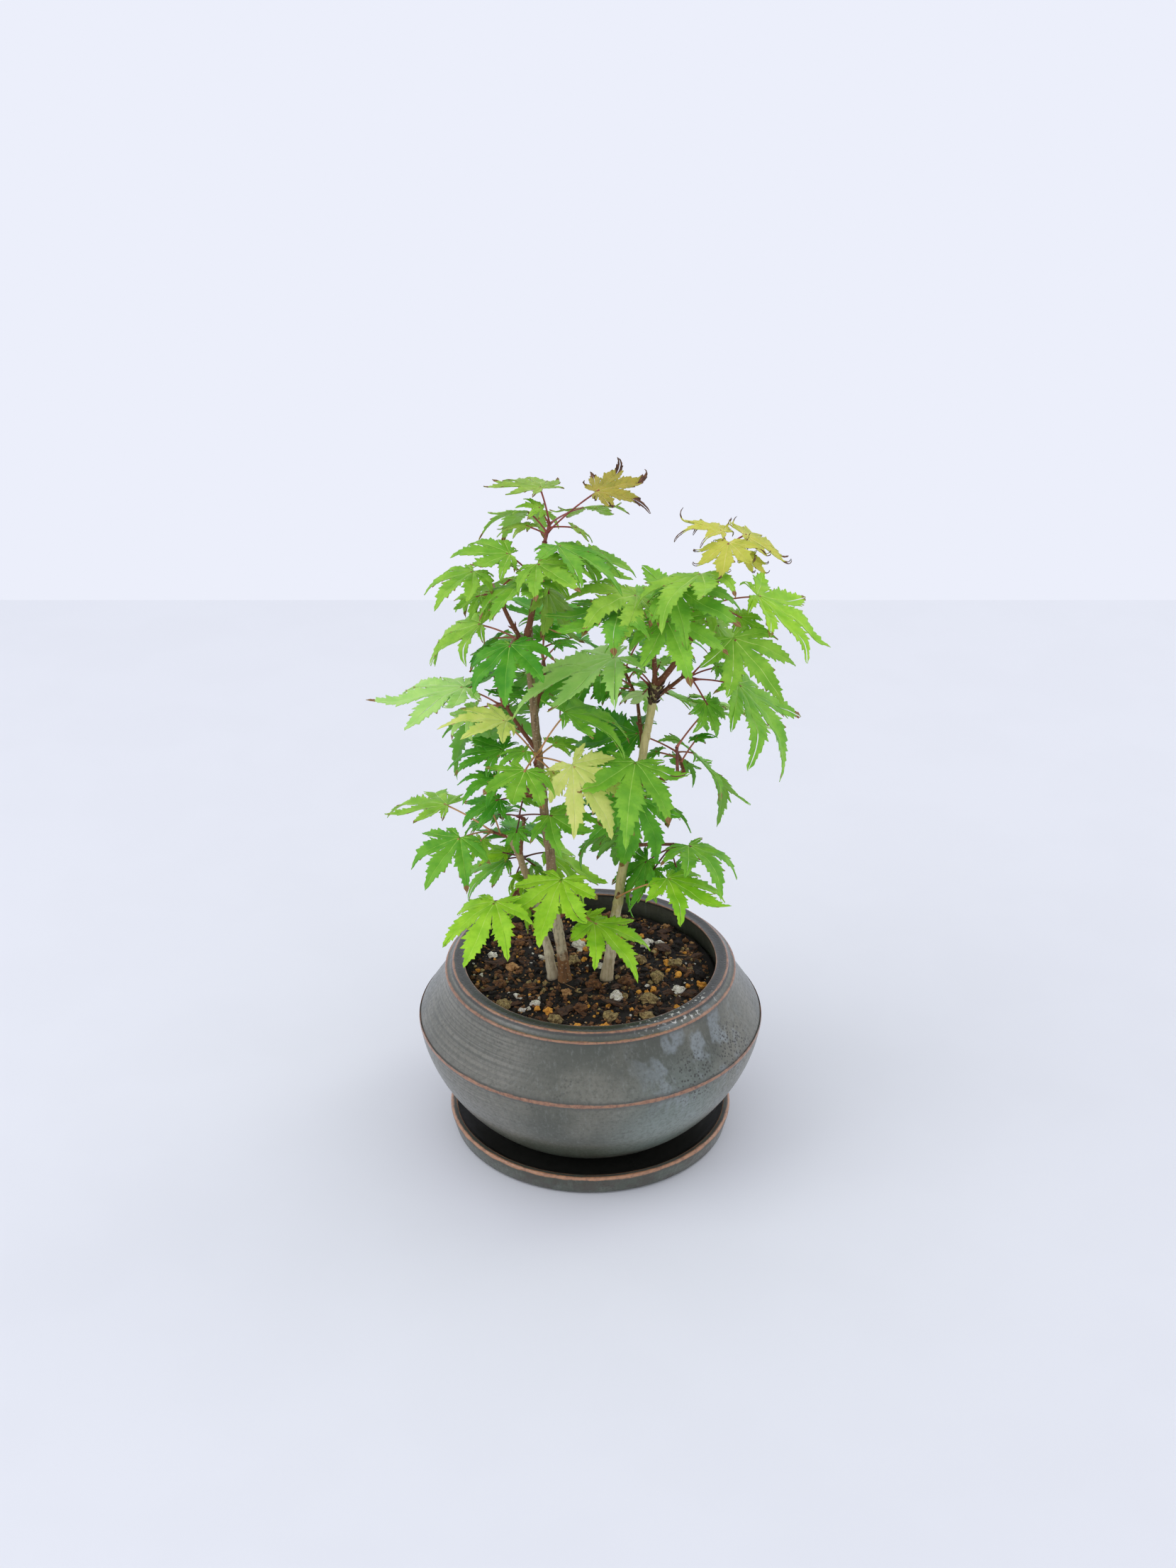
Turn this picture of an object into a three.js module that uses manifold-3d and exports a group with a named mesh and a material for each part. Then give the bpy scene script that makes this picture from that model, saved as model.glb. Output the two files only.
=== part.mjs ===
// A small bonsai planting of japanese maple: three slim stems from one root, in a round stoneware pot
// that stands in its own saucer. Millimetres, +Z up. The origin is the centre of the saucer's flat
// underside, and -Y is the front of the planting.
import * as THREE from 'three';
import { mergeVertices } from 'three/addons/utils/BufferGeometryUtils.js';
import Module from 'manifold-3d';

const wasm = await Module();
wasm.setup();

// ---------------------------------------------------------------- driving dimensions
const GAP = 0.3; // left between pieces that touch
const DEG = Math.PI / 180;
const UP = new THREE.Vector3(0, 0, 1);
const FACETS = { round: 48, stem: [10, 16], bough: [6, 6] }; // round the vessels, and round and along a limb
const WELD = 1e-4; // vertices this near to each other are one
const TOUCH = 1e-6; // pieces that share less volume than this are clear of each other

const SAUCER = { footRadius: 51.4, rimRadius: 54, height: 8.3, wall: 3, floor: 3, bevel: 1.2 };

const POT = {
  standHeight: SAUCER.floor + GAP,
  footRadius: 30,
  footRing: 5,
  footRecess: 2.5,
  drainRadius: 6,
  floor: 7,
  wall: 5,
  bellyRadius: 65,
  bellyHeight: 47.8,
  bowlPower: 1.6, // 2 would be a full round bowl, 1 a straight cone
  shoulderLeaves: [-2, 5], // the shoulder curve's handle above the belly
  shoulderArrives: [1.5, -8], // and its handle below the neck
  neckRadius: 54.5,
  neckHeight: 68.2,
  lipRadius: 51.6,
  lipHeight: 70.8,
  mouthRadius: 47,
  cavityRadius: 46,
  cavityHeight: 22,
  mouthDepth: 6,
};

const SOIL = { level: 65, edgeDrop: 1.2, flatRadius: 38 };

// Stones on the soil, the golden angle apart on a spiral and clear of the stems.
const STONES = {
  count: 38, reach: 43, size: [3, 5.4], shape: [1.1, 0.95, 0.75], sunk: 0.1, clearOfStems: 7, seed: 90,
};
const GOLDEN_ANGLE = 137.5;

// The stems rise from the soil. Foot and lean are X and Y, girth is the diameter at foot and tip.
const STEMS = [
  { name: 'stem_tall', foot: [-9.5, -6.4], lean: [-12.8, 3.4], height: 138.5, bow: [-0.6, 0],
    girth: [4.2, 2.7], flare: 1.3, knot: 1.1 },
  { name: 'stem_right', foot: [6.1, -4.9], lean: [17.1, 1.9], height: 119.7, bow: [-0.8, 0],
    girth: [4.1, 2.9], flare: 1.1, knot: 1.4 },
  { name: 'stem_low', foot: [-14.1, -3.9], lean: [-15.4, 5.4], height: 57.2, bow: [1.6, 0.6],
    girth: [3.6, 2.4], flare: 0.9, knot: 0.5 },
];
const FLARE_REACH = 5;
const KNOT_REACH = 3.5;

// A bough leaves its stem at a share of the stem's length. Heading is the compass direction in degrees,
// 0 to the right, 90 to the back, 180 to the left and 270 to the front. Rise is degrees above level, and
// lift is how much steeper the bough's outer half is.
const BOUGHS = [
  { name: 'bough_leader_left', on: 'stem_tall', at: 0.995,
    heading: 24, rise: 77, length: 35.5, lift: 3, girth: [2.3, 1.6] },
  { name: 'bough_side_left', on: 'stem_tall', at: 0.965,
    heading: 144, rise: 42, length: 18, lift: 20, girth: [1.9, 1.4] },
  { name: 'bough_mid_left', on: 'stem_tall', at: 0.68,
    heading: 144, rise: 36, length: 20, lift: 16, girth: [1.7, 1.2] },
  { name: 'bough_front_left', on: 'stem_tall', at: 0.6,
    heading: 260, rise: 44, length: 16, lift: 8, girth: [1.7, 1.2] },
  { name: 'bough_back_left', on: 'stem_tall', at: 0.78,
    heading: 78, rise: 24, length: 20, lift: 14, girth: [1.6, 1.2] },
  { name: 'bough_leader_right', on: 'stem_right', at: 0.995,
    heading: 17, rise: 46, length: 56, lift: 34, girth: [2.3, 1.5] },
  { name: 'bough_inner_right', on: 'stem_right', at: 0.985,
    heading: 100, rise: 74, length: 17, lift: 4, girth: [2, 1.4] },
  { name: 'bough_outer_right', on: 'stem_right', at: 0.96,
    heading: 32, rise: 14, length: 14, lift: 16, girth: [1.7, 1.3] },
  { name: 'bough_mid_right', on: 'stem_right', at: 0.67,
    heading: 352, rise: 14, length: 18, lift: 10, girth: [1.9, 1.4] },
  { name: 'bough_low_right', on: 'stem_right', at: 0.46,
    heading: 13, rise: 0, length: 18, lift: -10, girth: [1.5, 1.1] },
  { name: 'bough_back_right', on: 'stem_right', at: 0.78,
    heading: 96, rise: 26, length: 22, lift: 14, girth: [1.6, 1.2] },
  { name: 'bough_shoot_low', on: 'stem_low', at: 0.84,
    heading: 40, rise: 76, length: 15, lift: 8, girth: [1.6, 1.2] },
  { name: 'bough_low_left', on: 'stem_low', at: 0.42,
    heading: 218, rise: 48, length: 17, lift: 10, girth: [1.4, 1] },
];

// A mass of leaves is one shoot with opposite pairs, each pair turned a right angle on from the last.
// Turn is where the first pair sits round the shoot, and spread is the angle from shoot to leaf stalk.
// Petiole and blade are lengths, and droop is in degrees: the two leaves of a pair differ, so each has
// its own. Bare lists the leaf places that have lost their leaf. Where two leaves would meet, the mass
// that comes first here has the room. A mass's seed is its place in this list, from 1.
const SPRAYS = [
  { name: 'foliage_knot_right', on: 'stem_right', at: 0.985, heading: 137, rise: 10, length: 3,
    pairs: 1, turn: 228, spread: 59, petiole: [16.5, 18], blade: [42, 42.5], droop: [6, 31] },
  { name: 'foliage_mid_left', on: 'bough_mid_left', at: 1, heading: 150, rise: -2, length: 3,
    pairs: 2, turn: 135, spread: 52, petiole: [13, 14.5], blade: [35, 36], droop: [36, 16], bare: [1] },
  { name: 'foliage_front_left', on: 'bough_front_left', at: 1, heading: 288, rise: 52, length: 8.5,
    pairs: 2, turn: 135, spread: 54, petiole: [19, 16], blade: [23, 30], droop: [9, 41] },
  { name: 'foliage_top_left', on: 'bough_leader_left', at: 1, heading: 73, rise: 39, length: 7,
    pairs: 2, turn: 162, spread: 45, petiole: [22.5, 13], blade: [24, 24.5], droop: [12, 37] },
  { name: 'foliage_top_right', on: 'bough_leader_right', at: 1, heading: 324, rise: 54, length: 4.5,
    pairs: 2, turn: 273, spread: 51, petiole: [6, 6.5], blade: [26, 21.5], droop: [42, 31], bare: [0] },
  { name: 'foliage_leader_right', on: 'bough_leader_right', at: 0.55, heading: 334, rise: 54, length: 7.5,
    pairs: 1, turn: 315, spread: 52, petiole: [15, 17.5], blade: [34, 33.5], droop: [36, 29] },
  { name: 'foliage_inner_right', on: 'bough_inner_right', at: 1, heading: 265, rise: 55, length: 7.5,
    pairs: 2, turn: 139, spread: 19, petiole: [20.5, 20], blade: [29.5, 29.5], droop: [21, 37] },
  { name: 'foliage_outer_right', on: 'bough_outer_right', at: 1, heading: 301, rise: 10, length: 7,
    pairs: 2, turn: 262, spread: 37, petiole: [16, 31], blade: [34.5, 29.5], droop: [40, 50], bare: [0, 3] },
  { name: 'foliage_leader_left', on: 'bough_leader_left', at: 0.45, heading: 246, rise: 64, length: 11.5,
    pairs: 2, turn: 85, spread: 37, petiole: [9, 7], blade: [22.5, 24], droop: [16, 15] },
  { name: 'foliage_upper_mid', on: 'bough_leader_left', at: 0.88, heading: 316, rise: -21, length: 3,
    pairs: 2, turn: 90, spread: 68, petiole: [6.5, 12.5], blade: [27, 22], droop: [26, 4], bare: [2] },
  { name: 'foliage_upper_left', on: 'bough_side_left', at: 1, heading: 137, rise: 45, length: 4.5,
    pairs: 1, turn: 41, spread: 63, petiole: [17.5, 12.5], blade: [21.5, 25.5], droop: [24, 29] },
  { name: 'foliage_knot_left', on: 'stem_tall', at: 0.985, heading: 207, rise: 25, length: 5,
    pairs: 1, turn: 3, spread: 56, petiole: [16, 13.5], blade: [28, 27.5], droop: [26, 28] },
  { name: 'foliage_centre_right', on: 'bough_leader_right', at: 0.3, heading: 39, rise: 53, length: 11.5,
    pairs: 1, turn: 209, spread: 71, petiole: [6, 14], blade: [27, 32], droop: [51, 26] },
  { name: 'foliage_mid_right', on: 'bough_mid_right', at: 1, heading: 101, rise: 12, length: 12,
    pairs: 1, turn: 199, spread: 72, petiole: [7, 15], blade: [34, 33], droop: [40, 26] },
  { name: 'foliage_stem_right', on: 'stem_right', at: 0.7, heading: 259, rise: -18, length: 3,
    pairs: 1, turn: 269, spread: 71, petiole: [6, 16.5], blade: [29.5, 32.5], droop: [28, 36] },
  { name: 'foliage_stem_low', on: 'stem_low', at: 0.8, heading: 83, rise: -18, length: 8.5,
    pairs: 2, turn: 78, spread: 77, petiole: [8.5, 7], blade: [28.5, 25.5], droop: [38, 20] },
  { name: 'foliage_low_left', on: 'bough_low_left', at: 1, heading: 246, rise: -16, length: 7.5,
    pairs: 1, turn: 89, spread: 51, petiole: [12, 12], blade: [31.5, 30], droop: [33, 26] },
  { name: 'foliage_low_front', on: 'stem_tall', at: 0.18, heading: 341, rise: 52, length: 9.5,
    pairs: 2, turn: 43, spread: 49, petiole: [18, 16.5], blade: [31, 27.5], droop: [51, 13] },
  { name: 'foliage_stub', on: 'stem_low', at: 0.97, heading: 191, rise: 25, length: 8,
    pairs: 1, turn: 183, spread: 42, petiole: [21, 23], blade: [27.5, 25], droop: [11, 21] },
  { name: 'foliage_shoot_low', on: 'bough_shoot_low', at: 1, heading: 209, rise: 33, length: 3,
    pairs: 1, turn: 25, spread: 86, petiole: [19, 10], blade: [23, 23], droop: [17, 11] },
  { name: 'foliage_shade_left', on: 'stem_tall', at: 0.53, heading: 188, rise: 34, length: 10,
    pairs: 2, turn: 114, spread: 29, petiole: [20.5, 13], blade: [25, 17.5], droop: [42, 12], bare: [2] },
  { name: 'foliage_long_stalk', on: 'stem_right', at: 0.3, heading: 263, rise: 14, length: 7,
    pairs: 1, turn: 214, spread: 54, petiole: [26, 26.5], blade: [30, 28], droop: [26, 22], bare: [0] },
  { name: 'foliage_low_right', on: 'bough_low_right', at: 1, heading: 245, rise: 6, length: 4.5,
    pairs: 1, turn: 31, spread: 62, petiole: [12.5, 9], blade: [25, 25.5], droop: [15, 48] },
  { name: 'foliage_riser_right', on: 'bough_mid_right', at: 0.85, heading: 125, rise: 86, length: 11,
    pairs: 1, turn: 23, spread: 61, petiole: [20, 20.5], blade: [30, 32], droop: [26, 51], bare: [0] },
  { name: 'foliage_back_left', on: 'bough_back_left', at: 1, heading: 97, rise: 14, length: 12,
    pairs: 2, turn: 94, spread: 60, petiole: [14, 12], blade: [29, 25], droop: [30, 30] },
  { name: 'foliage_back_right', on: 'bough_back_right', at: 1, heading: 119, rise: 39, length: 12,
    pairs: 2, turn: 20, spread: 60, petiole: [14, 12], blade: [29, 25], droop: [30, 30] },
  { name: 'foliage_back_low', on: 'stem_right', at: 0.5, heading: 106, rise: 13, length: 11,
    pairs: 2, turn: 104, spread: 50, petiole: [14, 12], blade: [27, 24], droop: [30, 30] },
];

const TWIG = { footRadius: 0.65, tipRadius: 0.5, sides: 5, steps: 3 };
const PETIOLE = { radius: 0.42, sides: 3, steps: 3, arch: 0.07, sunk: 1.5 };
const BLADE = {
  thickness: 1.1,
  cup: 0.16, // how far a lobe's tip hangs below the base
  bellyAt: 0.5, // where along a lobe it is widest
  bellyWidth: 0.135,
  sinus: 0.36, // how near the base the blade is cut in between two lobes
  notch: 0.04,
  hub: 0.1, // where the blade is thickest
};

// A leaf's lobes: bearing from the midrib in degrees, and length as a share of the blade.
const LOBES = [[-112, 0.34], [-74, 0.62], [-37, 0.86], [0, 1], [37, 0.86], [74, 0.62], [112, 0.34]];

// How far a leaf may stray from its rule. Where something is in its way its stalk swings sideways by
// these degrees in turn, then the same a little higher, then a little lower.
const STRAY = { yaw: 4, petiole: 0.05, blade: 0.06, droop: 5, roll: 16 };
const SWINGS = [0, 8, -8, 16, -16, 28, -28];
const LIFTS = [0, 10, -10];

// ---------------------------------------------------------------- vectors, chance and solids
function compass(heading, rise) {
  const level = Math.cos(rise * DEG);
  const [east, back] = [Math.cos(heading * DEG), Math.sin(heading * DEG)];
  return new THREE.Vector3(level * east, level * back, Math.sin(rise * DEG));
}

// A repeatable run of numbers from -1 to 1 for each seed.
function seeded(seed) {
  let state = seed * 7919;
  const next = () => {
    state = (Math.imul(state, 1664525) + 1013904223) >>> 0;
    return state / 2147483648 - 1;
  };
  next();
  next();
  return next;
}

function solidOf(geometry) {
  geometry.deleteAttribute('normal');
  geometry.deleteAttribute('uv');
  const merged = mergeVertices(geometry, WELD);
  const triVerts = [];
  for (let i = 0; i < merged.index.count; i += 3) {
    const [a, b, c] = [0, 1, 2].map((k) => merged.index.getX(i + k));
    if (a !== b && b !== c && c !== a) triVerts.push(a, b, c);
  }
  const vertProperties = Float32Array.from(merged.attributes.position.array);
  const mesh = new wasm.Mesh({ numProp: 3, vertProperties, triVerts: Uint32Array.from(triVerts) });
  return new wasm.Manifold(mesh);
}

function geometryOf(solid) {
  const mesh = solid.getMesh();
  const geometry = new THREE.BufferGeometry();
  geometry.setAttribute('position', new THREE.BufferAttribute(mesh.vertProperties, 3));
  geometry.setIndex(new THREE.BufferAttribute(mesh.triVerts, 1));
  geometry.computeVertexNormals();
  return geometry;
}

function largestPiece(solid) {
  return solid.decompose().reduce((best, piece) => (piece.volume() > best.volume() ? piece : best));
}

function boxesMeet(a, b) {
  return [0, 1, 2].every((k) => a.min[k] < b.max[k] && b.min[k] < a.max[k]);
}

// The neighbours are solids with their boxes; a newcomer is cut back, or is told whether it is clear.
function asNeighbour(name, solid) {
  return { name, solid, box: solid.boundingBox() };
}

function cutBack(solid, neighbours) {
  const box = solid.boundingBox();
  const near = neighbours.filter((neighbour) => boxesMeet(box, neighbour.box));
  return largestPiece(near.reduce((rest, neighbour) => rest.subtract(neighbour.solid), solid));
}

function isClear(solid, neighbours) {
  const box = solid.boundingBox();
  const near = neighbours.filter((neighbour) => boxesMeet(box, neighbour.box));
  return near.every((neighbour) => solid.intersect(neighbour.solid).volume() < TOUCH);
}

// ---------------------------------------------------------------- saucer, pot and soil
// A profile is a list of [radius, height] going up the outside and down the inside.
function turned(profile) {
  const points = profile.map(([radius, height]) => new THREE.Vector2(radius, height));
  return new THREE.LatheGeometry(points, FACETS.round).rotateX(Math.PI / 2);
}

function saucerGeometry() {
  const { footRadius, rimRadius, height, wall, floor, bevel } = SAUCER;
  return turned([
    [0, 0],
    [footRadius, 0],
    [footRadius + bevel, bevel],
    [rimRadius, height - bevel],
    [rimRadius - bevel / 2, height],
    [rimRadius - wall + bevel / 2, height],
    [rimRadius - wall, height - bevel],
    [footRadius - 2 * wall, floor],
    [0, floor],
  ]);
}

// The bowl's outside from foot to belly, as shares 0 to 1 of the way round the curve.
function bowlPoint(share) {
  const angle = (share * Math.PI) / 2;
  const out = Math.sin(angle) ** (2 / POT.bowlPower);
  const down = Math.cos(angle) ** (2 / POT.bowlPower);
  return [
    POT.footRadius + (POT.bellyRadius - POT.footRadius) * out,
    POT.bellyHeight - (POT.bellyHeight - POT.standHeight) * down,
  ];
}

// The shoulder runs in from the belly and turns up into the neck.
function shoulderPoint(share) {
  const belly = new THREE.Vector2(POT.bellyRadius, POT.bellyHeight);
  const neck = new THREE.Vector2(POT.neckRadius, POT.neckHeight);
  const leaves = belly.clone().add(new THREE.Vector2(...POT.shoulderLeaves));
  const arrives = neck.clone().add(new THREE.Vector2(...POT.shoulderArrives));
  const point = new THREE.CubicBezierCurve(belly, leaves, arrives, neck).getPoint(share);
  return [point.x, point.y];
}

// The inside of the pot from the drain hole to the mouth, or the outside of the soil with a gap to it.
function cavityProfile(inset) {
  return [
    [POT.footRadius - POT.footRing, POT.floor + inset],
    [POT.cavityRadius - inset, POT.cavityHeight + inset / 2],
    [POT.bellyRadius - POT.wall - inset, POT.bellyHeight],
    [POT.mouthRadius + 1 - inset, POT.neckHeight - POT.mouthDepth],
  ];
}

// The numbers from start to end, both included, in equal steps.
function evenly(start, end, steps) {
  return Array.from({ length: steps + 1 }, (_, i) => start + ((end - start) * i) / steps);
}

function potGeometry() {
  const foot = POT.standHeight;
  return turned([
    [POT.drainRadius, foot + POT.footRecess],
    [POT.footRadius - POT.footRing, foot + POT.footRecess],
    [POT.footRadius - POT.footRing, foot],
    ...evenly(0, 0.8, 4).map(bowlPoint),
    ...evenly(0, 1, 4).map(shoulderPoint),
    [POT.lipRadius, POT.lipHeight],
    [POT.mouthRadius, POT.lipHeight],
    ...cavityProfile(0).reverse(),
    [POT.drainRadius, POT.floor],
    [POT.drainRadius, foot + POT.footRecess],
  ]);
}

function soilGeometry() {
  return turned([
    [0, POT.floor + GAP],
    ...cavityProfile(GAP),
    [POT.mouthRadius - GAP, SOIL.level - SOIL.edgeDrop],
    [SOIL.flatRadius, SOIL.level],
    [0, SOIL.level],
  ]);
}

function stoneGeometries() {
  const random = seeded(STONES.seed);
  const stones = [];
  for (let i = 0; i < STONES.count; i += 1) {
    const radius = STONES.reach * Math.sqrt((i + 0.5) / STONES.count);
    const place = compass(i * GOLDEN_ANGLE, 0).multiplyScalar(radius);
    const size = THREE.MathUtils.lerp(...STONES.size, (random() + 1) / 2);
    const turn = random() * Math.PI;
    const slope = SOIL.edgeDrop / (POT.mouthRadius - SOIL.flatRadius);
    const drop = slope * Math.max(0, radius - SOIL.flatRadius);
    const toStem = STEMS.map(({ foot }) => Math.hypot(place.x - foot[0], place.y - foot[1]));
    if (Math.min(...toStem) < STONES.clearOfStems) continue;
    const stone = new THREE.IcosahedronGeometry(size / 2).scale(...STONES.shape).rotateZ(turn);
    stones.push(stone.translate(place.x, place.y, SOIL.level - drop + STONES.sunk * size));
  }
  return stones;
}

// ---------------------------------------------------------------- limbs
// A round bar of changing radius along a curve: a cylinder whose rings are set square to the curve.
function bar(curve, radiusAt, sides, steps) {
  const geometry = new THREE.CylinderGeometry(1, 1, 1, sides, steps);
  const frames = curve.computeFrenetFrames(steps, false);
  const position = geometry.attributes.position;
  for (let i = 0; i < position.count; i += 1) {
    const along = position.getY(i) + 0.5;
    const ring = Math.round(along * steps);
    const radius = radiusAt(along);
    const point = curve.getPointAt(along);
    point.addScaledVector(frames.normals[ring], position.getX(i) * radius);
    point.addScaledVector(frames.binormals[ring], -position.getZ(i) * radius);
    position.setXYZ(i, point.x, point.y, point.z);
  }
  return geometry;
}

function stemCurve({ foot, lean, height, bow }) {
  const start = new THREE.Vector3(foot[0], foot[1], SOIL.level + GAP);
  const end = start.clone().add(new THREE.Vector3(lean[0], lean[1], height));
  const middle = start.clone().lerp(end, 0.5).add(new THREE.Vector3(2 * bow[0], 2 * bow[1], 0));
  return new THREE.QuadraticBezierCurve3(start, middle, end);
}

// A stem tapers from foot to tip, flares where it meets the soil and swells at the knot on top.
function stemRadius({ girth, flare, knot }, length) {
  return (along) => {
    const plain = THREE.MathUtils.lerp(...girth, along) / 2;
    const footSwell = (flare / 2) * Math.exp((-along * length) / FLARE_REACH);
    const fromTip = ((1 - along) * length) / KNOT_REACH;
    return plain + footSwell + (knot / 2) * Math.exp(-fromTip * fromTip);
  };
}

function shootCurve(start, { heading, rise, length, lift = 0 }) {
  const middle = start.clone().addScaledVector(compass(heading, rise), length / 2);
  const end = middle.clone().addScaledVector(compass(heading, rise + lift), length / 2);
  return new THREE.QuadraticBezierCurve3(start, middle, end);
}

// The foot of a stem is cut level, just above the soil.
function levelledFoot(geometry) {
  const position = geometry.attributes.position;
  for (let i = 0; i < position.count; i += 1) {
    if (position.getZ(i) < SOIL.level + 1) position.setZ(i, SOIL.level + GAP);
  }
  return geometry;
}

function growStem(stem) {
  const curve = stemCurve(stem);
  const radiusAt = stemRadius(stem, curve.getLength());
  const solid = solidOf(levelledFoot(bar(curve, radiusAt, ...FACETS.stem)));
  const room = solidOf(bar(curve, (along) => radiusAt(along) + GAP, ...FACETS.stem));
  return { name: stem.name, curve, solid, room: asNeighbour(stem.name, room) };
}

function growBough(bough, limbs, taken) {
  const curve = shootCurve(limbs.get(bough.on).curve.getPointAt(bough.at), bough);
  const radiusAt = (along) => THREE.MathUtils.lerp(...bough.girth, along) / 2;
  const solid = cutBack(solidOf(bar(curve, radiusAt, ...FACETS.bough)), taken);
  const room = solidOf(bar(curve, (along) => radiusAt(along) + GAP, ...FACETS.bough));
  return { name: bough.name, curve, solid, room: asNeighbour(bough.name, room) };
}

// ---------------------------------------------------------------- leaves
// The blade lies in its own X-Y plane, base at the origin and midrib along X. It is thickest at the
// base and thins to an edge all round, and its lobes bend down towards their tips.
function bladeGeometry(size) {
  const outline = [];
  const at = (bearing, reach, side) => {
    const [c, s] = [Math.cos(bearing * DEG), Math.sin(bearing * DEG)];
    const [x, y] = [reach * c - side * s, reach * s + side * c];
    outline.push(new THREE.Vector3(x, y, -BLADE.cup * (x * x + y * y)).multiplyScalar(size));
  };
  at(180, BLADE.notch, 0);
  LOBES.forEach(([bearing, length], i) => {
    at(bearing, BLADE.bellyAt * length, -BLADE.bellyWidth * length);
    at(bearing, length, 0);
    at(bearing, BLADE.bellyAt * length, BLADE.bellyWidth * length);
    if (i < LOBES.length - 1) {
      const [nextBearing, nextLength] = LOBES[i + 1];
      at((bearing + nextBearing) / 2, BLADE.sinus * Math.min(length, nextLength), 0);
    }
  });
  const top = new THREE.Vector3(BLADE.hub * size, 0, BLADE.thickness / 2);
  const under = new THREE.Vector3(BLADE.hub * size, 0, -BLADE.thickness / 2);
  const corners = [];
  outline.forEach((point, i) => {
    const next = outline[(i + 1) % outline.length];
    corners.push(top, point, next, under, next, point);
  });
  return new THREE.BufferGeometry().setFromPoints(corners);
}

// A leaf is a stalk from its node on the shoot to the blade's base, and the blade fused to it.
function leafSolid(node, stalkWay, leaf) {
  const joint = node.clone().addScaledVector(stalkWay, leaf.petiole);
  const heading = Math.atan2(stalkWay.y, stalkWay.x) / DEG;
  const rise = Math.asin(stalkWay.z) / DEG;
  const midrib = compass(heading, rise / 2 - leaf.droop);
  const across = new THREE.Vector3().crossVectors(UP, midrib).normalize();
  const face = new THREE.Vector3().crossVectors(midrib, across);
  const placed = new THREE.Matrix4().makeBasis(midrib, across, face).setPosition(joint);
  const rolled = new THREE.Matrix4().makeRotationX(leaf.roll * DEG);
  const blade = solidOf(bladeGeometry(leaf.blade).applyMatrix4(placed.multiply(rolled)));

  const middle = node.clone().lerp(joint, 0.5).addScaledVector(UP, PETIOLE.arch * leaf.petiole);
  const end = joint.clone().addScaledVector(midrib, PETIOLE.sunk);
  const curve = new THREE.QuadraticBezierCurve3(node, middle, end);
  const stalk = solidOf(bar(curve, () => PETIOLE.radius, PETIOLE.sides, PETIOLE.steps));
  return { blade, whole: blade.add(stalk) };
}

function growTwig(spray, limbs, taken) {
  const curve = shootCurve(limbs.get(spray.on).curve.getPointAt(spray.at), spray);
  const radiusAt = (along) => THREE.MathUtils.lerp(TWIG.footRadius, TWIG.tipRadius, along);
  const whole = solidOf(bar(curve, radiusAt, TWIG.sides, TWIG.steps));
  return { curve, solid: cutBack(whole, taken) };
}

// The ways a stalk may take, the one it would rather take first.
function waysAside(stalkWay, yaw) {
  return LIFTS.flatMap((lift) => SWINGS.map((swing) => {
    const across = new THREE.Vector3().crossVectors(UP, stalkWay).normalize();
    const way = stalkWay.clone().applyAxisAngle(across, -lift * DEG);
    return way.applyAxisAngle(UP, (yaw + swing) * DEG);
  }));
}

// Opposite leaves in pairs up the shoot. Each leaf strays a little from the rule by the mass's own
// seed, swings aside for what is already there, and is skipped where no swing clears it.
function growLeaves(spray, seed, twig, taken) {
  const random = seeded(seed);
  const along = compass(spray.heading, spray.rise);
  const level = new THREE.Vector3().crossVectors(UP, along).normalize();
  const steep = new THREE.Vector3().crossVectors(along, level);
  const leaves = [];
  for (let place = 0; place < 2 * spray.pairs; place += 1) {
    const pair = Math.floor(place / 2);
    const ofPair = place % 2;
    const node = twig.curve.getPointAt((pair + 1) / spray.pairs);
    const turn = spray.turn + 90 * pair + 180 * ofPair;
    const side = level.clone().multiplyScalar(Math.cos(turn * DEG));
    side.addScaledVector(steep, Math.sin(turn * DEG));
    const stalkWay = along.clone().multiplyScalar(Math.cos(spray.spread * DEG));
    stalkWay.addScaledVector(side, Math.sin(spray.spread * DEG));
    const yaw = STRAY.yaw * random();
    const leaf = {
      petiole: spray.petiole[ofPair] * (1 + STRAY.petiole * random()),
      blade: spray.blade[ofPair] * (1 + STRAY.blade * random()),
      droop: spray.droop[ofPair] + STRAY.droop * random(),
      roll: STRAY.roll * random(),
    };
    if (spray.bare?.includes(place)) continue;
    const grown = waysAside(stalkWay, yaw)
      .map((way) => leafSolid(node, way, leaf))
      .find(({ blade, whole }) => isClear(whole, taken) && isClear(blade, leaves.map((other) => other.room)));
    if (grown) leaves.push({ solid: grown.whole, room: asNeighbour(spray.name, grown.whole) });
  }
  return leaves;
}

// ---------------------------------------------------------------- the whole planting
const FINISH = {
  glaze: { color: 0x5f655f, roughness: 0.42, metalness: 0.25 },
  soil: { color: 0x33251b, roughness: 0.95, metalness: 0 },
  bark: { color: 0x8d7d62, roughness: 0.85, metalness: 0 },
  shoot: { color: 0x8a4a35, roughness: 0.7, metalness: 0 },
  leaf: { color: 0x6fae2a, roughness: 0.6, metalness: 0 },
};

function named(name, geometry, finish) {
  const mesh = new THREE.Mesh(geometry, new THREE.MeshStandardMaterial({ ...finish, flatShading: true }));
  mesh.name = name;
  return mesh;
}

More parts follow.
